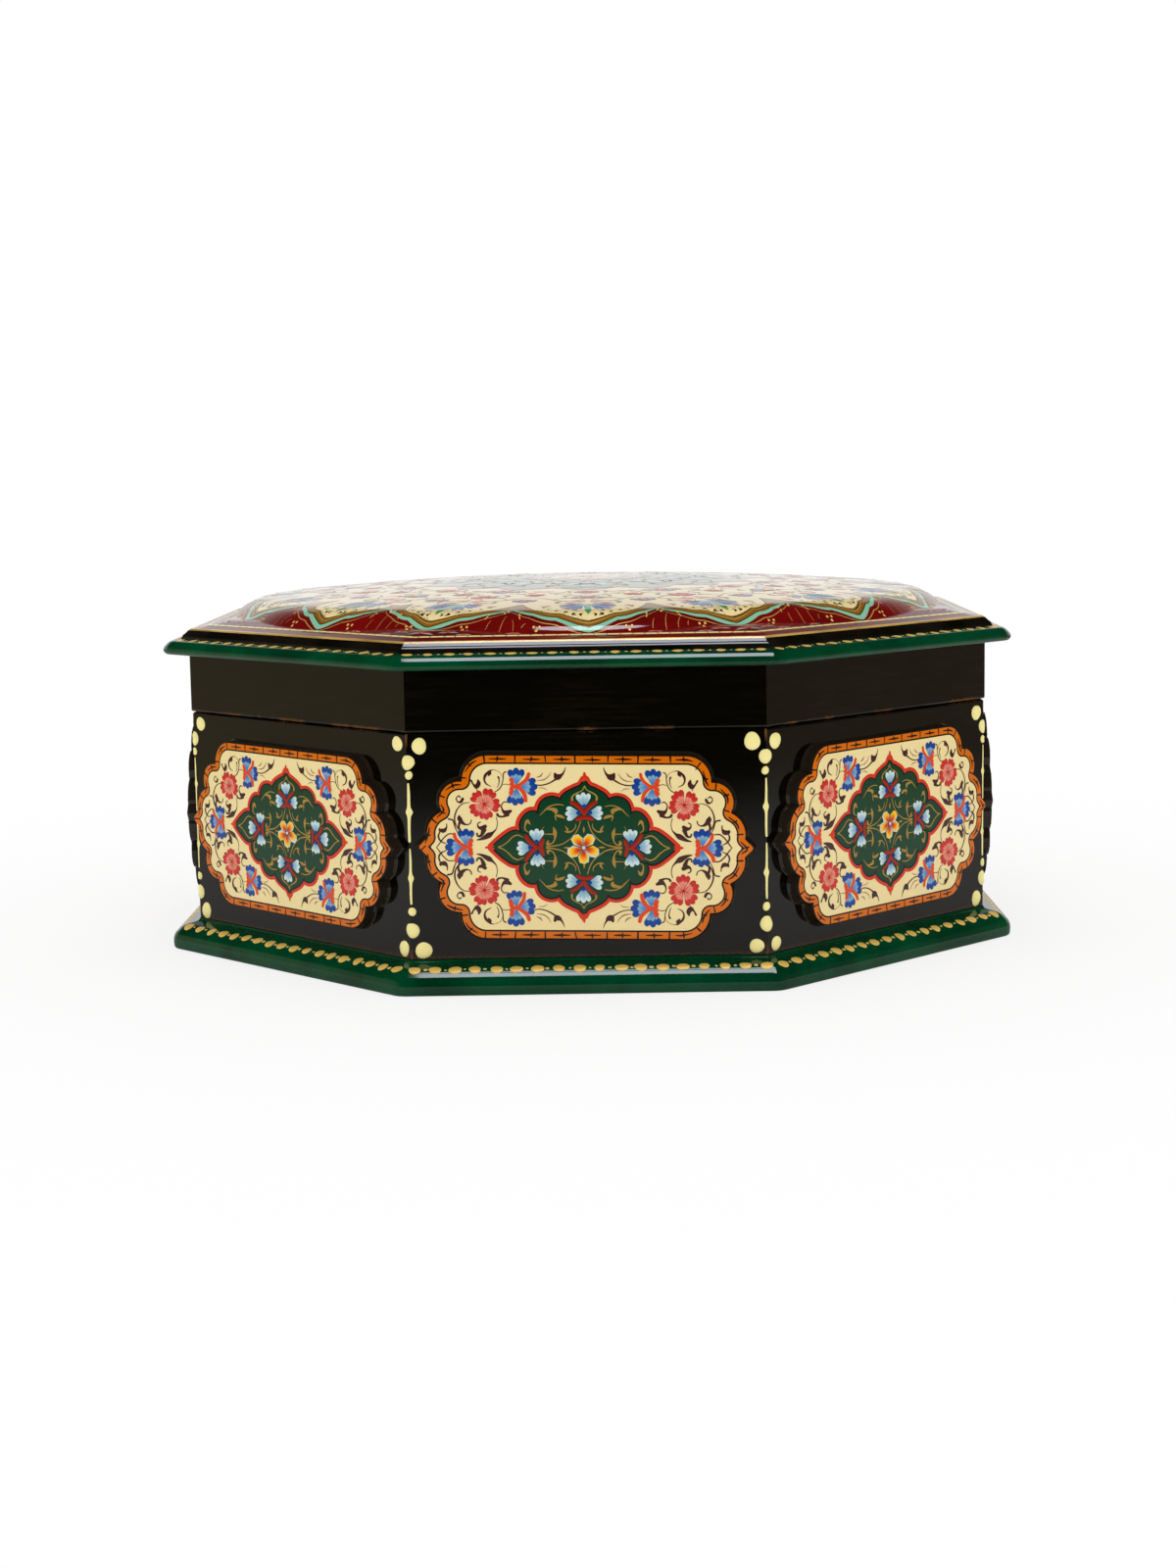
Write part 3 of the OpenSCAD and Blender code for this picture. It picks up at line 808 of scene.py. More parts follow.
# Control rows (u, v, width) of the scrolls in the upper right quarter of a plaque
scrolls = [
    [
        (11.5, 14.6, 0.15), (10.1, 14.4, 0.2), (8.4, 14.8, 0.22), (6.8, 15.7, 0.3),
        (5.5, 16.6, 0.45), (4.8, 17.5, 0.25), (4.4, 18.6, 0.08),
    ],
    [(5.1, 17.1, 0.2), (5.6, 16.6, 0.9), (6.3, 16.4, 1.1), (6.7, 17.1, 0.5)],
    [(17.1, 14.5, 0.1), (18.0, 14.7, 0.12), (18.8, 14.5, 0.1)],
    [
        (18.1, 17.5, 0.25), (18.6, 17.1, 0.2), (18.7, 15.9, 0.18),
        (19.0, 14.5, 0.2), (19.6, 13.5, 0.2), (20.6, 12.8, 0.15),
    ],
    [
        (21.0, 17.9, 0.15), (21.8, 17.6, 0.3), (22.7, 16.7, 0.5),
        (23.0, 15.7, 0.35), (22.6, 14.7, 0.25), (21.5, 14.1, 0.1),
    ],
    [(21.6, 17.7, 0.4), (21.8, 17.1, 0.9), (22.0, 16.5, 0.2)],
    [(19.8, 16.3, 0.35), (19.6, 15.7, 0.2), (19.7, 14.7, 0.15), (20.1, 13.8, 0.08)],
    [(24.3, 15.6, 0.3), (24.2, 14.8, 0.8), (24.7, 14.1, 0.8), (25.4, 14.6, 0.3), (25.9, 15.5, 0.35)],
    [(24.9, 14.1, 0.3), (24.6, 13.3, 0.1)],
    [
        (27.9, 11.3, 0.5), (28.3, 10.6, 0.5), (29.0, 10.6, 0.25),
        (29.4, 11.3, 0.2), (28.9, 12.0, 0.2), (28.5, 11.7, 0.25),
    ],
    [
        (26.3, 10.4, 0.12), (27.4, 10.3, 0.15), (28.5, 9.7, 0.2), (29.4, 8.4, 0.25),
        (29.8, 6.9, 0.28), (29.6, 5.4, 0.25), (28.8, 3.9, 0.12),
    ],
    [(25.9, 6.3, 0.2), (26.1, 5.6, 0.2), (26.9, 5.2, 0.25), (27.9, 5.6, 0.6), (28.6, 6.6, 0.9), (28.7, 7.2, 0.4)],
    [(28.6, 5.9, 0.5), (28.9, 4.6, 0.4), (28.2, 3.6, 0.12)],
    [(23.9, 5.9, 0.2), (24.5, 5.5, 0.2), (24.3, 4.7, 0.4), (23.5, 4.5, 0.8), (22.8, 4.9, 0.7)],
    [(23.1, 4.1, 0.8), (23.7, 2.8, 0.5), (24.5, 2.6, 0.3), (24.7, 3.2, 0.3)],
    [
        (20.3, 6.9, 0.15), (20.0, 5.6, 0.15), (20.3, 4.2, 0.2), (21.1, 3.3, 0.5),
        (22.0, 2.7, 1.1), (23.5, 1.9, 0.6), (24.7, 1.6, 0.2),
    ],
    [(17.7, 10.5, 0.15), (18.4, 10.6, 0.2), (19.0, 9.8, 0.2), (18.7, 8.6, 0.4), (17.9, 8.1, 0.9), (16.9, 8.5, 0.5)],
    [(17.7, 7.6, 0.8), (18.7, 7.1, 0.35), (19.7, 7.2, 0.4), (20.0, 7.6, 0.5)],
    [(31.6, 5.3, 0.2), (31.6, 4.6, 0.25), (32.2, 3.8, 0.8), (33.1, 3.9, 0.6), (33.2, 4.3, 0.2)],
    [(33.2, 3.5, 0.25), (33.5, 2.4, 0.35), (33.0, 1.4, 0.3), (31.7, 0.7, 0.12)],
    [(31.2, 6.5, 0.3), (30.2, 6.2, 0.25), (29.7, 4.6, 0.2), (29.0, 3.1, 0.12)],
    [(30.0, 3.1, 0.2), (31.2, 3.1, 0.22), (32.4, 2.1, 0.22), (33.5, 0.6, 0.2), (34.0, 0.0, 0.12)],
]
faintScrolls = [
    [(10.9, 15.4, 0.1), (9.4, 15.6, 0.25), (8.3, 16.4, 0.2), (7.7, 17.4, 0.08)],
    [(10.9, 16.3, 0.15), (10.1, 16.6, 0.3), (9.6, 17.3, 0.1)],
    [(10.4, 13.8, 0.1), (9.3, 13.8, 0.2), (8.4, 13.3, 0.08)],
    [(18.8, 16.1, 0.1), (19.2, 17.1, 0.12), (20.1, 17.7, 0.12), (21.0, 17.9, 0.15)],
]
# Gold scrolls in the same quarter of the green medallion
tendrils = [
    [(0.8, 6.1, 0.2), (1.5, 4.1, 0.22), (2.8, 2.3, 0.25), (4.9, 0.8, 0.25), (6.8, 0.3, 0.3), (8.6, 0.1, 0.35)],
    [(2.0, 5.5, 0.1), (2.0, 4.7, 0.2), (2.8, 3.8, 0.25), (3.8, 3.6, 0.4), (4.5, 3.8, 0.1)],
    [(4.4, 5.1, 0.1), (3.9, 4.3, 0.5), (3.8, 3.7, 0.3)],
    [(7.0, 4.6, 0.2), (6.7, 3.4, 0.8), (6.7, 2.0, 0.35), (7.3, 0.9, 0.25), (8.2, 0.7, 0.3)],
    [(7.1, 3.2, 0.3), (8.3, 3.2, 0.2), (9.2, 3.3, 0.15), (9.6, 4.3, 0.12), (9.2, 4.9, 0.08)],
    [(8.3, 1.6, 0.2), (8.4, 0.9, 0.7), (7.9, 0.6, 0.2)],
    [(4.5, 6.9, 0.3), (5.3, 7.3, 0.7), (6.5, 7.4, 0.4), (6.3, 6.3, 0.12)],
    [(4.8, 9.8, 0.2), (6.0, 10.0, 0.25), (7.3, 9.8, 0.25), (8.5, 9.2, 0.3), (9.5, 8.2, 0.2), (10.3, 7.4, 0.08)],
    [(6.6, 8.0, 0.4), (6.6, 8.6, 0.9), (7.6, 9.0, 0.6), (8.6, 8.9, 0.15)],
    [(12.4, 5.2, 0.1), (13.1, 6.1, 0.8), (13.6, 5.1, 0.35), (13.6, 4.1, 0.3), (12.8, 3.4, 0.1)],
    [(13.9, 2.3, 0.15), (15.2, 2.8, 0.3), (16.3, 2.4, 0.3), (17.4, 1.3, 0.28), (18.6, 0.4, 0.25), (19.6, 0.0, 0.3)],
    [(0.0, 14.2, 0.3), (0.6, 13.3, 0.2), (1.8, 12.7, 0.3), (2.7, 12.0, 0.35), (2.8, 11.2, 0.5), (2.7, 10.7, 0.1)],
]
# Lobes of the medallion's edge in that quarter, from its upper tip to its right tip
medallionLobes = [
    [(0.0, 15.9), (0.9, 14.5), (2.4, 13.8), (4.1, 12.9), (5.1, 12.0), (5.6, 11.1)],
    [(5.6, 11.1), (6.3, 11.6), (7.6, 11.8), (9.0, 11.4), (10.0, 10.5), (10.5, 9.3), (10.7, 8.0)],
    [(10.7, 8.0), (11.4, 8.4), (12.6, 8.3), (13.7, 7.5), (14.5, 6.3), (14.8, 5.0), (14.5, 3.5)],
    [(14.5, 3.5), (15.5, 3.9), (16.7, 3.7), (18.0, 2.9), (19.6, 1.6), (21.3, 0.0)],
]
# Half sizes, shares of them at the ends of the straight run and at the notches, radii of the arcs as shares of their
# chords; the flank as (inset, height) with the blur of its notches; the ticks' pitch, dash and bars on the border;
# the front plaque's tilt, shift and its painting's place, and the height of the one on the left as a share
plaque = dict(
    halfW=38.95, halfH=21.45, flatEnd=(0.587, 1.0), notch1=(0.739, 0.717), notch2=(0.858, 0.387),
    lobes=(0.7, 0.57, 0.82), cusp=2.2, thickness=3.0, middleZ=33.6, edge=0.24, border=1.78, line=0.4,
    flank=[(-0.7, -0.05), (-0.4, 0.22), (-0.2, 0.7), (-0.1, 1.5), (-0.04, 2.2), (0.02, 2.7), (0.12, 2.9)], blur=1.6,
    pitch=3.55, dash=1.9, shortBar=0.48, longBar=0.72, redEdge=(0.62, 0.82), inkEdge=(0.1, 0.42),
    frontTilt=-1.2, frontShift=-0.35, astray=-0.45, lowTall=0.955, sway=0.6,
)
# Centres of the painting's flowers, in millimetres from the middle of the plaque
posy = dict(rose=(22.95, 10.0), corner=(15.6, 14.1), side=27.2, pale=(10.8, 8.0), sun=(-0.2, -0.1), tips=(22.2, 16.9))


# Arc from p to q that bulges to the left, and its normals: points at the radius, a share of the chord, around a
# centre that lies on the chord's perpendicular
def lobeArc(p, q, share, steps):
    p, q = np.array(p), np.array(q)
    chord = q - p
    length = np.hypot(*chord)
    radius = share * length
    centre = (p + q) / 2 + np.sqrt(radius**2 - length**2 / 4) * np.array([chord[1], -chord[0]]) / length
    first = np.arctan2(*(p - centre)[::-1])
    sweep = (first - np.arctan2(*(q - centre)[::-1])) % (2 * np.pi)
    angles = first - sweep * np.linspace(0, 1, steps)
    normals = np.column_stack([np.cos(angles), np.sin(angles)])
    return centre + radius * normals, normals


# Points and outward normals of a quarter of the plaque's edge, clockwise from the top: a straight run, three arcs
# between notches, and a straight run out to the cusp
def plaqueQuarter():
    half = np.array([plaque["halfW"], plaque["halfH"]])
    flat, first, second = (half * plaque[key] for key in ("flatEnd", "notch1", "notch2"))
    root = np.array([half[0] - plaque["cusp"], plaque["cusp"]])
    top = np.linspace([0, half[1]], flat, 13)[:-1]
    runs = [(top, np.tile([0.0, 1.0], (len(top), 1)))]
    for (p, q), share in zip(((flat, first), (first, second), (second, root)), plaque["lobes"]):
        runs.append(lobeArc(p, q, share, 12))
    cusp = np.linspace(root, [half[0], 0], 6)
    runs.append((cusp, np.tile([np.sqrt(0.5), np.sqrt(0.5)], (len(cusp), 1))))
    points, normals = [runs[0][0]], [runs[0][1]]
    for (_, before), (after, normal) in zip(runs, runs[1:]):
        # A turn of the normal at each notch, so that an inner line stays a constant distance from the edge
        first, last = (np.arctan2(n[1], n[0]) for n in (before[-1], normal[0]))
        turn = (last - first + np.pi) % (2 * np.pi) - np.pi
        if abs(turn) > 0.1:
            angles = first + turn * np.arange(1, 6) / 6
            points.append(np.tile(after[0], (5, 1)))
            normals.append(np.column_stack([np.cos(angles), np.sin(angles)]))
        points.append(after)
        normals.append(normal)
    return np.vstack(points), np.vstack(normals)


# Closed line at an inward distance from the plaque's edge, counter-clockwise: each point moved back along its normal,
# the normals first blurred along the edge where the line shall be soft, then mirrored to the four quarters
def plaqueLine(inset, softness=0.0):
    points, normals = plaqueQuarter()
    if softness:
        spread = np.exp(-0.5 * (np.arange(-12, 13) / softness) ** 2)
        mirrored = np.vstack([normals[::-1] * (-1, 1), normals, normals[::-1] * (1, -1)])
        rounded = np.column_stack([np.convolve(mirrored[:, i], spread / spread.sum(), "same") for i in range(2)])
        normals = rounded[len(points) : 2 * len(points)]
        normals /= np.hypot(normals[:, 0], normals[:, 1])[:, None]
    line = points - inset * normals
    tip = plaque["halfW"] - max(inset, 0) * np.sqrt(2) - min(inset, 0)
    over = line[:, 1] < 1e-6
    line[over] = (min(tip, line[~over][:, 0].max()), 0.0)
    line[:, 0] = np.where(line[:, 1] < abs(plaque["cusp"]), np.minimum(line[:, 0], tip), line[:, 0])
    quarter = line[:-1]
    right = np.vstack([line, quarter[::-1] * (1, -1)])
    left = right[1:-1][::-1] * (-1, 1)
    return np.vstack([right, left])[::-1]


# Place on the face of side k: u to the right, v up, lift outwards, turned by tilt and stretched by tall
def facePlace(k, apothem, middle, tilt=0.0, shift=0.0, tall=1.0):
    out, along = sideFrame(k)
    cos, sin = np.cos(radians(tilt)), np.sin(radians(tilt))

    def place(u, v, lift):
        right, up = u * cos - v * tall * sin + shift, u * sin + v * tall * cos
        x = along[0] * right + out[0] * (apothem + lift)
        y = along[1] * right + out[1] * (apothem + lift)
        return np.stack([x, y, middle + up], axis=-1)

    return place


# Body of a plaque, one closed line of the edge for each (inset, height): soft black flank with a fillet of lacquer at
# its foot, orange border, inked line; then the cream field, which shrinks evenly to the middle
def drawPlaqueBody(canvas):
    rise, border, inked = plaque["thickness"], plaque["border"], plaque["border"] + plaque["line"]
    # The flank's tone is partly its own brownish black and partly a painted reflection of the floor and room it faces
    rings = [(inset, height, plaque["blur"], "flank") for inset, height in plaque["flank"]]
    rings += [(plaque["edge"], rise - 0.02, 0, "flank"), (plaque["edge"], rise - 0.02, 0, "orange")]
    rings += [(border, rise, 0, "orange"), (border, rise, 0, "ink"), (inked, rise, 0, "ink")]
    lines = [plaqueLine(inset, softness) for inset, _, softness, _ in rings]
    for k, (outer, inner) in enumerate(zip(rings, rings[1:])):
        if outer[3] == inner[3]:
            pair = np.array(lines[k : k + 2])
            lift = np.array([[outer[1]], [inner[1]]])
            # Rows run inwards, so the columns run back to keep the faces outwards
            canvas.patch(pair[:, ::-1, 0], pair[:, ::-1, 1], lift, tone(outer[3]), closed=True)
    share = np.array([0, 0.5, 1.0])[:, None]
    canvas.patch(share * lines[-1][:, 0], share * lines[-1][:, 1], rise, tone("cream"), closed=True, fan=True)


# Medallion edge as one closed line, and its lobes: smooth curves of a quarter, mirrored to all four
def medallion():
    quarter = [smoothed(lobe, 4) for lobe in medallionLobes]
    lobes = []
    for mirror in ((1, 1), (1, -1), (-1, -1), (-1, 1)):
        turnedBack = mirror[0] * mirror[1] < 0
        run = quarter[::-1] if turnedBack else quarter
        lobes += [(lobe[::-1] if turnedBack else lobe) * mirror for lobe in run]
    outline = np.vstack([lobe[:-1] for lobe in lobes])
    return outline, lobes


# Lines at a distance outside each lobe, along its normals, without the parts that come nearer to the edge than that
def parallels(outline, lobes, distance):
    result = []
    for lobe in lobes:
        step = np.gradient(lobe, axis=0)
        step /= np.hypot(step[:, 0], step[:, 1])[:, None]
        shifted = lobe + distance * np.column_stack([-step[:, 1], step[:, 0]])
        gap = np.hypot(shifted[:, None, 0] - outline[:, 0], shifted[:, None, 1] - outline[:, 1]).min(axis=1)
        kept = shifted[gap > distance * 0.93]
        if len(kept) > 2:
            result.append(kept)
    return result


# Ticks on the orange border: a bar across at each pitch, every other one with a dash along
def drawTicks(brush):
    rng = brush.canvas.rng
    middle = plaqueLine((plaque["border"] + plaque["edge"]) / 2)
    loop = np.vstack([middle, middle[:1]])
    length = np.append(0, np.cumsum(np.hypot(*np.diff(loop, axis=0).T)))
    count = int(round(length[-1] / plaque["pitch"]))

    def along(distance):
        return np.array([np.interp(distance % length[-1], length, loop[:, i]) for i in range(2)])

    for k in range(count):
        distance = (k + rng.normal(0, 0.06)) * length[-1] / count
        centre = along(distance)
        run = along(distance + 0.4) - along(distance - 0.4)
        # No tick in a notch, where the line turns back
        if np.hypot(*run) < 0.3:
            continue
        run = run / np.hypot(*run)
        across = np.array([-run[1], run[0]])
        if k % 2:
            ends = along(distance - plaque["dash"]), along(distance + plaque["dash"])
            dash = [(*ends[0], 0.2), (*(centre - run * 0.4), 0.42), (*ends[1], 0.18)]
            brush.stroke(dash, tone("ink"), 0.03, 0.01, shake=0.03)
        half = plaque["shortBar"] if k % 2 else plaque["longBar"]
        bar = [(*(centre - across * half), 0.36), (*(centre + across * half + rng.normal(0, 0.1, 2)), 0.28)]
        brush.stroke(bar, tone("ink"), 0.035, 0.01, 2, 0.03)


# Green medallion, its red and inked edges, and the red strokes at its four tips
def drawMedallion(brush):
    outline, lobes = medallion()
    share = np.array([0, 0.35, 0.7, 1.0])[:, None]
    back = outline[::-1]
    brush.patch(share * back[:, 0], share * back[:, 1], 0.02, tone("meadow"), closed=True, fan=True)
    for colour, key, lift, height in (("redLine", "redEdge", 0.05, 0.03), ("ink", "inkEdge", 0.055, 0.01)):
        distance, width = plaque[key]
        for run in parallels(outline, lobes, distance):
            rows = np.column_stack([run, np.full(len(run), width)])
            brush.stroke(rows, tone(colour), lift, height, 1, 0.0)
    right, up = posy["tips"]
    for centre, turn in (((right, 0), 0), ((-right, 0), 180), ((0, up), 90), ((0, -up), 270)):
        tip = brush.moved(centre, turn)
        tip.stroke([(-1.2, 0.35, 0.6), (-0.2, 0, 0.75), (0.5, 0.05, 0.4)], tone("redLine"), 0.06)
        tip.stroke([(-1.2, -0.35, 0.6), (-0.2, 0, 0.75)], tone("redLine"), 0.06)


# The painting of one plaque
def drawPlaque(brush, gold):
    rng = brush.canvas.rng
    drawTicks(brush)
    drawMedallion(brush)
    for mirror in ((1, 1), (1, -1), (-1, 1), (-1, -1)):
        quarter = brush.moved(mirror=mirror)
        for rows in scrolls:
            quarter.stroke(np.multiply(rows, (1, 1, 1.25)), tone("scroll"), 0.045, 0.02)
        for rows in faintScrolls:
            quarter.stroke(rows, tone("faintScroll"), 0.045, 0.01)
        rosette(quarter.moved(posy["rose"]), rng.uniform(-15, 15))
        drawFlower(quarter.moved(posy["corner"], 180 + rng.normal(0, 3)), "blue")
        for rows in tendrils:
            gold.moved(mirror=mirror).stroke(rows, tone("goldDark"), 0.04, 0.02)
    right, up = posy["pale"]
    for k, centre in enumerate(((right, 0), (0, up), (-right, 0), (0, -up))):
        drawFlower(brush.moved(centre, 90 * k + rng.normal(0, 2), 0.94), "pale")
        reach = 3.0 if k % 2 else 2.9
        spindle = [(reach + 0.4, 0, 0.08), (reach + 1.2, 0, 0.45), (reach + 1.9, 0, 0.1)]
        gold.moved(turn=90 * k).stroke(spindle, tone("goldDark"), 0.04)
    for sign, turn in ((1, 0), (-1, 180)):
        drawFlower(brush.moved((sign * posy["side"], 0), turn + rng.normal(0, 2)), "blue")
    sunFlower(brush.moved(posy["sun"], rng.normal(0, 3)))


# Body, painting and gold of each plaque; the body takes the place of the solid, which is hidden
def makePlaques():
    for k, side in enumerate(sides):
        tilt = plaque["frontTilt"] if k == 0 else plaque["sway"] * np.sin(2.3 * k)
        shift, tall = plaque["frontShift"] if k == 0 else 0.0, plaque["lowTall"] if k == 7 else 1.0
        place = facePlace(k, box["bodyA"], plaque["middleZ"], tilt, shift, tall)
        body, painting, golden = Canvas(place, 10 + k), Canvas(place, 30 + k), Canvas(place, 50 + k)
        drawPlaqueBody(body)
        offset = (plaque["astray"] if k == 0 else 0.0, 0.0)
        drawPlaque(*(Brush(canvas, offset=offset, rise=plaque["thickness"]) for canvas in (painting, golden)))
        piece = body.build("plaque_body_" + side, paint, "box", "painted_plaque")
        piece.data.set_sharp_from_angle(angle=radians(30))
        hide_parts("plaque_" + side)
        painting.build("plaque_painting_" + side, paint, "box", "painted_plaque")
        golden.build("plaque_gold_" + side, goldPaint, "box", "painted_plaque")


makePlaques()
print("plaques ready")

# Drops along the corners and dots along the mouldings


# Place around the vertical corner between sides k and k + 1: u runs round it and v is the height; the lift follows
# a normal that turns from one side's to the other's across blend millimetres
def cornerPlace(k, apothem):
    (outL, alongL), (outR, alongR) = sideFrame(k), sideFrame(k + 1)
    corner = apothem * outL + apothem * halfTan * alongL

    def place(u, v, lift):
        share = np.clip(u / drops["blend"] + 0.5, 0, 1)
        nx, ny = outL[0] * (1 - share) + outR[0] * share, outL[1] * (1 - share) + outR[1] * share
        size = np.hypot(nx, ny)
        left, right = np.minimum(u, 0), np.maximum(u, 0)
        x = corner[0] + left * alongL[0] + right * alongR[0] + lift * nx / size
        y = corner[1] + left * alongL[1] + right * alongR[1] + lift * ny / size
        return np.stack([x, y, v + 0 * x], axis=-1)

    return place


# Cream drops on a corner: heights and reaches of the pairs, heights and sizes of the single ones, and lines from an
# upper to a lower height with a swelling between them; sunk is how much lower the upper ones sit at the back,
# where the lid swings down past the wall
drops = dict(
    pairs=((57.1, 3.05), (9.7, 2.75)), pairSize=(3.7, 3.9),
    singles=((53.6, 3.6), (14.4, 3.7), (50.3, 2.0), (18.6, 2.1)),
    lines=((48.6, 35.2, 42.0), (33.4, 20.6, 26.6)), thickness=0.42, lineHeight=0.28, blend=1.2,
    upper=40, sunk=2.4, backCorners=(3, 4),
)


# Pairs and single drops from the ends of a corner inwards, then the two swelling lines between them
def makeCornerDrops():
    cream = tone("bead")
    for k, side in enumerate(sides):
        canvas = Canvas(cornerPlace(k, box["bodyA"]), 70 + k)
        brush, rng = Brush(canvas), canvas.rng
        shift = rng.uniform(-0.4, 0.4)
        sunk = drops["sunk"] * (k in drops["backCorners"])
        for height, reach in drops["pairs"]:
            height -= sunk * (height > drops["upper"])
            for sign in (-1, 1):
                centre = (sign * reach + rng.normal(0, 0.15), height + rng.normal(0, 0.25))
                size = np.multiply(drops["pairSize"], rng.uniform(0.9, 1.07))
                brush.drop(centre, size, cream, 0, drops["thickness"], columns=16)
        for height, size in drops["singles"]:
            height -= sunk * (height > drops["upper"])
            centre = (shift + rng.normal(0, 0.12), height + rng.normal(0, 0.2))
            brush.drop(centre, (size * 0.96, size), cream, 0.02, drops["thickness"] * (0.5 + size / 7), columns=16)
        for upper, lower, swell in drops["lines"]:
            upper -= sunk * (upper > drops["upper"])
            rows = [(shift, upper, 0.35), (shift + 0.05, (upper + swell) / 2 + 1, 0.55), (shift, swell + 1.3, 0.7)]
            rows += [(shift, swell, 1.6), (shift, swell - 1.3, 0.7)]
            rows += [(shift - 0.05, (lower + swell) / 2 - 1, 0.55), (shift, lower, 0.5)]
            brush.stroke(rows, cream, 0.05, drops["lineHeight"], 6)
        canvas.build("corner_drops_" + side, paint, "box", "black_lacquer")


# Place along side k of a moulding: u to the right, v the length along its profile from the point nearest to start,
# lift along the profile's normal, which is blurred over its bends
def mouldingPlace(k, profile, start):
    out, along = sideFrame(k)
    line = np.array(profile)
    length = np.concatenate([[0], np.cumsum(np.hypot(*np.diff(line, axis=0).T))])
    origin = length[np.hypot(*(line - start).T).argmin()]
    fine = np.linspace(0, length[-1], 900)
    path = np.column_stack([np.interp(fine, length, line[:, i]) for i in range(2)])
    step = np.gradient(path, axis=0)
    step /= np.hypot(step[:, 0], step[:, 1])[:, None]
    spread = np.full(9, 1 / 9)
    step = np.column_stack([np.convolve(step[:, i], spread, "same") for i in range(2)])

    def place(u, v, lift):
        a, z = (np.interp(origin + v, fine, path[:, i]) for i in range(2))
        da, dz = (np.interp(origin + v, fine, step[:, i]) for i in range(2))
        a, z = a + lift * dz, z - lift * da
        return np.stack([along[0] * u + out[0] * a, along[1] * u + out[1] * a, z], axis=-1)

    return place


# Rows of gold dots: a point (distance, height) of the profile, sizes of the large ones along and across, size of the
# small ones between them, and their pitch
dots = dict(
    base_dots=dict(
        profile=baseProfile, body="box", start=(104.2, 5.7), size=(3.0, 2.75), small=1.0, pitch=4.83, seed=90
    ),
    lid_dots=dict(
        profile=lidProfile, body="lid", start=(103.3, 78.74), size=(2.6, 2.3), small=0.62, pitch=4.7, seed=110
    ),
)


# Large dots at even steps of about the pitch along each side, each with a small one halfway to the next
def makeDots(name, row):
    length = 2 * row["start"][0] * halfTan
    count = int(round(length / row["pitch"]))
    step = length / count
    for k, side in enumerate(sides):
        canvas = Canvas(mouldingPlace(k, row["profile"], row["start"]), row["seed"] + k)
        brush, rng = Brush(canvas), canvas.rng
        for i in range(count):
            u = (i + 0.5 - count / 2) * step + rng.normal(0, 0.14)
            grown = rng.uniform(0.86, 1.12)
            centre = (u, rng.normal(0, 0.08))
            size = (row["size"][0] * grown, row["size"][1] * rng.uniform(0.9, 1.1))
            brush.drop(centre, size, tone("gold"), 0, 0.1)
            if i < count - 1:
                spot = row["small"] * rng.uniform(0.55, 1.1)
                centre = (u + step / 2 + rng.normal(0, 0.15), rng.normal(0, 0.08))
                brush.drop(centre, (spot * 1.2, spot), tone("gold"), 0, 0.06, columns=10)
        canvas.build(name + "_" + side, goldPaint, row["body"], "green_moulding")


makeCornerDrops()
for name, row in dots.items():
    makeDots(name, row)
print("drops ready")

# Painting of the cap

# Points of the cusped rings and columns of the mesh for each; astray: degrees by which each point was painted off
# its place, from the front round by the right
lid = dict(
    folds=16, columns=32, fans=83.0,
    astray=(0.6, 0.0, 0.5, -0.4, 0.3, -0.6, 0.4, 0.8, -0.5, 0.2, -0.7, 0.5, -0.2, 0.8, 1.8, -1.0),
)
foldAngle = 360 / lid["folds"]


# Place on the cap: u and v are x and y, and the lift is added to the cap's own height
def capPlace(u, v, lift):
    return np.stack([u, v, capHeight(u, v) + lift], axis=-1)


# Radius of a cusped ring at degrees from the front: knots of (degrees from a point, radius, bulge up to the next),
# joined by straight runs with a parabola of the bulge on top, and mirrored in each fold
def cuspedRadius(angle, knots):
    angle = angle - np.interp(angle, foldAngle * np.arange(lid["folds"]), lid["astray"], period=360)
    fold = np.abs((angle + foldAngle / 2) % foldAngle - foldAngle / 2)
    places = [knot[0] for knot in knots]
    radius = np.interp(fold, places, [knot[1] for knot in knots])
    for (low, _, bulge), (high, _, _) in zip(knots, knots[1:]):
        share = np.clip((fold - low) / (high - low), 0, 1)
        radius = radius + 4 * bulge * share * (1 - share)
    return radius


# Knots of the rings, from a point of the edge to halfway to the next
rings = dict(
    edge=[(0, 94.3, 0.25), (4.5, 90.95, 0.55), (7.7, 89.0, 0.6), (11.25, 85.3, 0)],
    thread=[(0, 94.95, 0.15), (4.8, 92.0, 0.5), (8.2, 90.0, 0.55), (11.25, 86.5, 0)],
    cream=[(0, 91.3, 0.5), (4.1, 87.9, 0.7), (7.0, 86.2, 0.6), (8.8, 82.4, 0.3), (11.25, 74.8, 0)],
    field=[(0, 45.5, -0.4), (4.6, 42.4, 0.5), (8.2, 40.3, 0.4), (11.25, 38.2, 0)],
    heart=[(0, 17.5, -0.3), (6.0, 15.6, 0.4), (11.25, 14.0, 0)],
)
# Rows of the cream field: wide steps on the almost flat crown, short ones over the shoulder
creamRows = np.append(np.linspace(0, 0.8, 12), np.linspace(0.8, 1, 14)[1:])
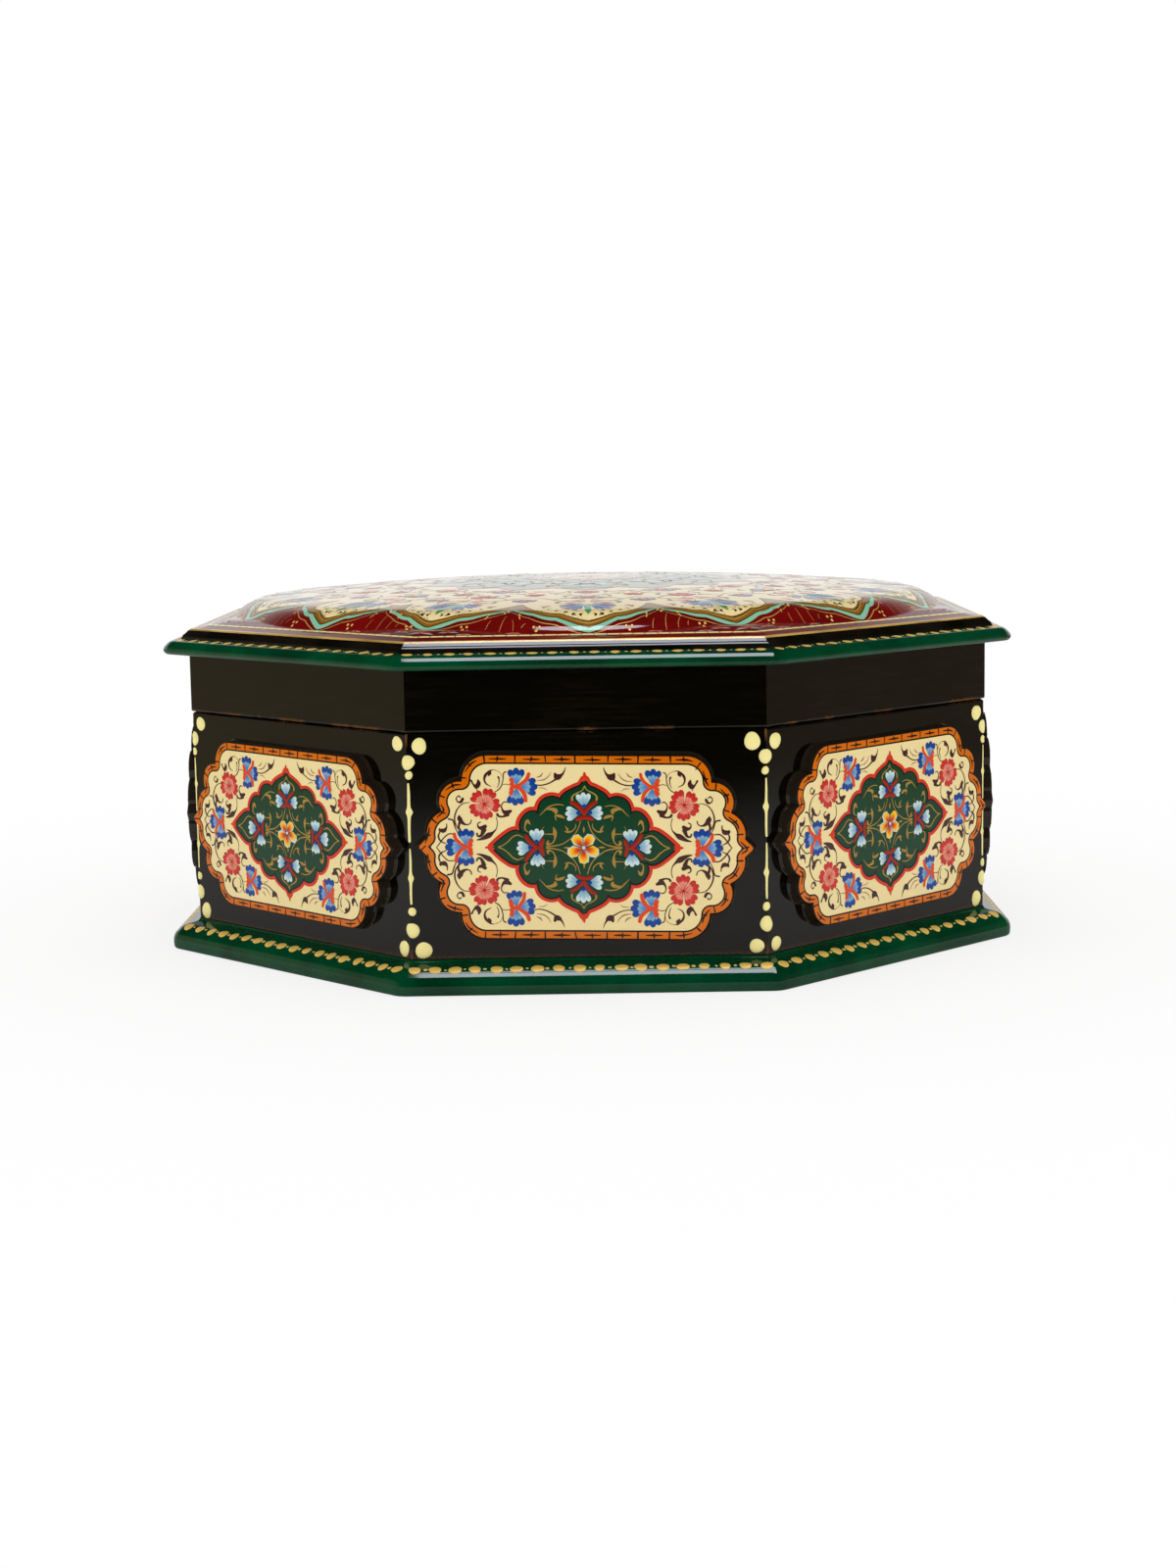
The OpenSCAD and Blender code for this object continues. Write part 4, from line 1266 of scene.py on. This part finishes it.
# Bands from the outside in: gilt or not, outer ring and how far inside it, inner ring likewise or none for a whole
# field, tone, lift, rows of the mesh
bands = [
    (True, "thread", -0.12, "thread", 0.12, "goldSoft", 0.035, 3),
    (False, "edge", 0, "edge", 1.15, "turquoise", 0.035, 4),
    (False, "edge", 1.15, "edge", 1.4, "ink", 0.04, 3),
    (False, "edge", 1.3, "cream", 0.3, "bronze", 0.035, 5),
    (True, "cream", -0.85, "cream", -0.4, "goldDark", 0.045, 3),
    (False, "cream", -0.28, "cream", 0, "ink", 0.04, 3),
    (False, "cream", 0, None, 0, "cream", 0.035, creamRows),
    (False, "field", -1.9, "field", -0.8, "redLine", 0.06, 3),
    (False, "field", -0.8, "field", -0.4, "ink", 0.065, 3),
    (False, "field", -0.4, None, 0, "sage", 0.06, 9),
    (False, "heart", -1.2, "heart", -0.2, "turquoise", 0.085, 3),
    (True, "heart", -0.2, "heart", 0.15, "goldDark", 0.09, 3),
    (False, "heart", 0, None, 0, "crimson", 0.085, 4),
]


# Band of the cap's painting: radius = inner + (outer - inner) x share, at even steps of angle
def drawBand(brush, outer, outerIn, inner, innerIn, colour, lift, rows):
    columns = lid["folds"] * lid["columns"]
    degrees = np.arange(columns) / columns * 360
    high = cuspedRadius(degrees, rings[outer]) - outerIn
    low = cuspedRadius(degrees, rings[inner]) - innerIn if inner else 0 * degrees
    share = np.linspace(0, 1, rows) if isinstance(rows, int) else rows
    radius = low + (high - low) * share[:, None]
    angle = np.radians(degrees - 90)
    brush.patch(radius * np.cos(angle), radius * np.sin(angle), lift, tone(colour), closed=True, fan=inner is None)


# Flowers of each fold as (kind, distance from the centre, turn, size): on its axis at an even or odd point of the
# edge, and between two folds
garland = dict(
    even=[("blue", 63.0, 180, 0.95), ("rose", 51.0, 10, 0.9)],
    odd=[("rose", 62.0, 20, 1.0), ("blue", 50.0, 0, 0.9)],
    between=[("blue", 68.5, 0, 0.75), ("rose", 57.5, 30, 0.75), ("sprig", 49.5, -90, 0.9)],
)


# The flowers of one row, u outwards from the middle of the cap
def drawGarland(brush, row):
    for kind, distance, turn, size in row:
        place = brush.moved((distance, 0), turn, size)
        if kind == "rose":
            rosette(place, brush.canvas.rng.uniform(-15, 15))
        elif kind == "sprig":
            sprig(place)
        else:
            drawFlower(place, kind)


# Petals of the flower in the middle: turn of the first, length, spread, stops, scallops, depth and lift
heartPetals = [
    (22.5, 11.5, 21, [(0, "amber", 0), (0.5, "salmon", 0), (0.8, "cream", 0), (1, "pale", 0)], 3, 0.15, 0.1, 0.03),
    (0, 8.2, 18, [(0, "ember", 0), (0.4, "amber", 0), (0.8, "yellow", 0), (1, "yellow", 0)], 1, 0.3, 0.13, 0.02),
]


# Bands, then fold by fold a fan, a spray, flowers, scrolls and every other time a pale flower, then the middle
def makeCapPainting():
    canvas, golden = Canvas(capPlace, 200), Canvas(capPlace, 201)
    brush, gold = Brush(canvas), Brush(golden)
    for gilt, *band in bands:
        drawBand(gold if gilt else brush, *band)
    for k in range(lid["folds"]):
        turn = foldAngle * k - 90 + lid["astray"][k]
        outwards = lid["fans"] * np.array([np.cos(radians(turn)), np.sin(radians(turn))])
        drawCartouche(brush.moved(outwards, turn))
        drawSpray(gold, turn + foldAngle / 2)
        ring, leaf = brush.moved(turn=turn), gold.moved(turn=turn)
        drawGarland(ring, garland["odd" if k % 2 else "even"])
        drawGarland(brush.moved(turn=turn + foldAngle / 2), garland["between"])
        for rows in ringScrolls:
            for mirror in (1, -1):
                ring.moved(mirror=(1, mirror)).stroke(rows, tone("scroll"), 0.08, 0.02)
        if k % 2 == 0:
            drawFlower(ring.moved((29.0, 0), 0, 1.05), "pale")
            for mirror in (1, -1):
                for rows in fieldTendrils:
                    leaf.moved(mirror=(1, mirror)).stroke(rows, tone("goldDark"), 0.1, 0.02)
    for first, length, spread, stops, scallops, depth, lift, height in heartPetals:
        for k in range(8):
            brush.petal((0, 0), 45 * k + first, length, spread, shades(*stops), scallops, depth, 0.0, lift, height)
    brush.drop((0, 0), (3.2, 3.2), tone("darkRibbon"), 0.15, 0.02)
    brush.drop((0, 0), (1.5, 1.5), tone("pale"), 0.17, 0.02)
    canvas.build("cap_painting", capPaint, "lid", "painted_cap")
    golden.build("cap_gold", goldPaint, "lid", "painted_cap")


# Scrolls between the flowers of the cream ring, for half a fold, u outwards
ringScrolls = [
    [
        (66.5, 1.0, 0.2), (69.2, 3.4, 0.25), (69.4, 6.2, 0.3),
        (66.8, 8.4, 0.3), (64.0, 10.4, 0.3), (62.6, 13.0, 0.15),
    ],
    [(69.4, 6.2, 0.3), (71.4, 7.6, 0.9), (73.4, 7.0, 0.4), (73.8, 5.6, 0.12)],
    [(66.8, 8.4, 0.25), (64.4, 6.6, 0.3), (63.2, 4.6, 0.7), (64.4, 3.4, 0.15)],
    [(58.6, 1.4, 0.2), (57.6, 3.6, 0.3), (59.4, 5.6, 0.8), (61.2, 5.2, 0.3)],
    [(57.6, 3.6, 0.25), (55.2, 5.0, 0.25), (54.6, 7.2, 0.6), (56.0, 8.2, 0.2)],
    [(47.2, 1.2, 0.2), (47.4, 3.2, 0.3), (49.4, 4.8, 0.8), (51.6, 4.2, 0.4), (53.4, 4.8, 0.15)],
    [(49.4, 4.8, 0.25), (51.6, 6.6, 0.25), (52.8, 8.6, 0.6), (51.6, 9.4, 0.2)],
    [(72.6, 1.2, 0.15), (75.2, 2.6, 0.3), (74.8, 4.6, 0.2)],
]
fieldTendrils = [
    [
        (20.6, 0.4, 0.3), (23.2, 1.6, 0.35), (25.0, 4.4, 0.4), (27.6, 6.8, 0.4),
        (31.4, 7.6, 0.35), (34.6, 5.8, 0.3), (36.6, 1.2, 0.3),
    ],
    [(27.6, 6.8, 0.3), (26.2, 8.8, 0.9), (24.0, 8.6, 0.3)],
    [(31.4, 7.6, 0.3), (33.6, 10.0, 0.9), (36.2, 9.8, 0.4), (37.0, 8.0, 0.15)],
    [(38.6, 0.0, 0.3), (40.6, 2.6, 0.4), (40.2, 5.6, 0.5), (38.4, 6.2, 0.15)],
    [(22.2, 4.6, 0.2), (20.4, 6.2, 0.8), (18.6, 5.4, 0.2)],
]


# Fan at a point of the edge: petals as (angle, length) to either side of its axis, then on each side strokes as
# (rows, tone, lift, height) and pink buds as (base, turn, length, spread)
cartouche = dict(
    stops=[(0, "cream", 0), (0.25, "sky", 0), (0.5, "fan", 30), (1, "fan", 0)],
    petals=[(80, 6.8), (66, 7.6), (53, 8.4), (41, 9.4), (30, 10.5), (20, 11.6), (11, 12.4)],
    spear=[(-7.4, 0, 0.4), (-4.5, 0, 0.9), (-0.6, 0, 1.5), (2.6, 0, 1.5), (5.4, 0, 0.2)],
    strokes=[
        ([(-6.8, 0.5, 0.3), (-4.2, 2.6, 0.6), (-1.0, 4.2, 0.15)], tone("spear") + 30, 0.1, 0.03),
        ([(-3.0, 0.9, 0.3), (1.2, 1.15, 0.6), (4.2, 0.9, 0.15)], tone("cream"), 0.1, 0.03),
        ([(5.0, 1.3, 0.2), (5.5, 1.9, 0.6), (6.2, 1.7, 0.35)], tone("ink"), 0.06, 0.02),
        ([(4.6, 3.0, 0.3), (5.3, 3.5, 0.7), (5.9, 2.8, 0.3)], tone("ink"), 0.06, 0.02),
        ([(3.2, 5.0, 0.3), (3.8, 5.5, 0.5), (4.2, 4.8, 0.2)], tone("scroll"), 0.06, 0.02),
        ([(1.6, 7.0, 0.2), (2.2, 7.7, 0.5), (2.8, 7.4, 0.3)], tone("scroll"), 0.06, 0.02),
        ([(-1.0, 8.6, 0.2), (-0.4, 9.4, 0.5), (0.6, 9.6, 0.3)], tone("scroll"), 0.06, 0.02),
        ([(-3.8, 10.2, 0.2), (-3.0, 10.6, 0.5), (-2.0, 10.0, 0.3)], tone("scroll"), 0.06, 0.02),
    ],
    bud=[(0, "roseLight", 0), (0.5, "rosePink", 0), (1, "salmon", 0)],
    buds=[((-11.4, 0.6), 150, 4.0, 30), ((-10.6, 1.6), 84, 4.2, 30), ((-5.2, 8.4), 70, 2.8, 32)],
)


# Blue fan on cream with dark leaves beyond it and pink buds behind it, its point along +u
def drawCartouche(brush):
    for angle, length in cartouche["petals"]:
        for sign in (-1, 1):
            stops = shades(*cartouche["stops"])
            brush.petal((-8, 0), sign * angle, length, 5.4 + angle / 40, stops, 1, 0.3)
    brush.stroke(cartouche["spear"], tone("spear"), 0.1, 0.05)
    for mirror in (1, -1):
        half = brush.moved(mirror=(1, mirror))
        for rows, colour, lift, height in cartouche["strokes"]:
            half.stroke(rows, colour, lift, height)
        for base, turn, length, spread in cartouche["buds"]:
            half.petal(base, turn, length, spread, shades(*cartouche["bud"]), 3, lift=0.06)


# Gold on the crimson between two points: lines as (degrees, inner and outer radius, width), threes of dots at
# (degrees, radius), each dot off by (radius, degrees, size), and single dots with a tail
spray = dict(
    lines=[(0.15, 89.0, 94.2, 0.17), (1.9, 90.6, 93.6, 0.15), (-1.9, 90.8, 93.4, 0.15), (3.3, 91.9, 93.0, 0.15)],
    threes=[(5.4, 92.7), (-5.4, 92.7), (0, 86.6)], dots=[(0.0, 0.42, 0.62), (0.0, -0.42, 0.62), (0.95, 0.0, 0.7)],
    singles=[(2.4, 88.4), (-2.4, 88.4)], singleSize=0.6,
)


# Point at a radius and an angle from u: radius x cosine and radius x sine
def polar(radius, degrees):
    return radius * np.cos(radians(degrees)), radius * np.sin(radians(degrees))


# Gold spray and dots on the crimson between two points of the edge
def drawSpray(gold, turn):
    local = gold.moved(turn=turn)
    for degrees, low, high, width in spray["lines"]:
        bend = gold.canvas.rng.normal(0.25, 0.15)
        rows = [(*polar(low, degrees + bend), width * 0.7), (*polar((low + high) / 2, degrees), width)]
        rows.append((*polar(high, degrees - bend * 0.4), width * 0.9))
        local.stroke(rows, tone("goldDark"), 0.04, 0.02)
    for degrees, radius in spray["threes"]:
        for dr, dd, size in spray["dots"]:
            local.drop(polar(radius + dr, degrees + dd), (size, size), tone("gold"), 0.03, 0.1, columns=10)
    for degrees, radius in spray["singles"]:
        local.drop(polar(radius, degrees), [spray["singleSize"]] * 2, tone("gold"), 0.03, 0.08, columns=10)
        rows = [(*polar(radius + 0.9, degrees), 0.25), (*polar(radius + 2.0, degrees * 1.1), 0.2)]
        local.stroke(rows, tone("gold"), 0.05)


# Cream line on the ledge, its half width and the pitch of its ticks; red buds as (distance, place along the side),
# one at each corner and one to either side of it
ledge = dict(
    line=95.3, half=0.5, steps=60, pitch=2.9, margins=(1.2, 1), tick=0.45,
    buds=[(93.9, -28), (93.6, -16.5), (93.6, 16.5), (93.9, 28)], corner=99.4, beside=(97.0, 6.0),
)


# Cream line with dark ticks around the ledge, and small red buds beside it
def makeLedgePainting():
    canvas = Canvas(capPlace, 230)
    brush, rng = Brush(canvas), canvas.rng
    line, half = ledge["line"], ledge["line"] * halfTan
    steps = np.linspace(-half, half, ledge["steps"])[:, None]
    for k in range(8):
        flat = brush.moved(turn=45 * k - 90)
        flat.patch(line + ledge["half"] * np.array([1, 0, -1]) + 0 * steps, -steps, 0.05, tone("bead"))
        for v in np.arange(-half + ledge["margins"][0], half - ledge["margins"][1], ledge["pitch"]):
            inner = (line - ledge["tick"], v + rng.normal(0, 0.15), 0.22)
            outer = (line + ledge["tick"], v + rng.normal(0, 0.1), 0.16)
            flat.stroke([inner, outer], tone("ink"), 0.07, 0.01)
        for distance, v in ledge["buds"]:
            sprig(flat.moved((distance, v), 90, 0.55))
        corner = flat.moved(turn=22.5)
        sprig(corner.moved((ledge["corner"], 0), 90, 1.0))
        distance, v = ledge["beside"]
        for mirror in (1, -1):
            sprig(corner.moved((distance, v * mirror), 90 + 22 * mirror, 0.7))
    canvas.build("ledge_painting", capPaint, "lid", "painted_cap")


# A red bud between two grey-green leaves
def sprig(brush):
    stops = shades((0, "roseLight", 0), (0.5, "rosePink", 0), (1, "redLine", 0))
    brush.petal((0, 0), 90, 1.6, 40, stops, 3, lift=0.05)
    for mirror in (1, -1):
        half = brush.moved(mirror=(mirror, 1))
        half.stroke([(0.4, -0.1, 0.3), (1.8, 0.1, 0.8), (3.4, -0.3, 0.12)], tone("ash"), 0.05)
        half.stroke([(0.3, 0.5, 0.3), (1.4, 1.0, 0.6), (2.4, 0.9, 0.12)], tone("redLine"), 0.055)


makeCapPainting()
makeLedgePainting()
print("cap painting ready")

# Linings, and materials of the plain solids


# Half width, height of the seat and which way the cloth faces; the rounded edge as (distance inwards, share of the
# thickness), then the crown as (share of the half width, height over the thickness)
pads = dict(
    floor_pad=dict(node="floor_lining", half=92.8, seat=7.0, body="box", facing=1),
    lid_pad=dict(node="lid_lining", half=93.1, seat=75.2, body="lid", facing=-1),
)
padEdge = [(6, 0.0), (0.02, 0.0), (0, 0.5), (0.2, 0.8), (0.7, 0.96), (4, 1.0)]
padCrown = [(0.7, 0.1), (0.35, 0.18)]
padThickness = 1.5


# Cloth-covered pad: a profile with a rounded edge and a slight crown, swept around the eight sides
def makePad(name, pad):
    half = pad["half"]
    profile = [(half - inwards, share * padThickness) for inwards, share in padEdge]
    profile += [(half * share, padThickness + crown) for share, crown in padCrown] + [(0.5, padThickness + 0.2)]
    profile = [(a, pad["seat"] + pad["facing"] * z) for a, z in profile][:: pad["facing"]]
    piece = sweepOctagon(name, profile, [0] * (len(profile) - 1), [velvet], ((0, 100), (1, 1)), 60)
    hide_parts(pad["node"])
    ride(piece, pad["body"])


for name, pad in pads.items():
    makePad(name, pad)

# Materials of the solids that show as they are, by the first word of this list that their name holds
looks = (("wall_lining", velvet), ("hinge", brass), ("wall_", blackLacquer), ("lid_band", blackLacquer))
for name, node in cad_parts.items():
    for material in [look for words, look in looks if words in name][:1]:
        for slot in node.material_slots:
            slot.material = material
print("linings and hinges ready")
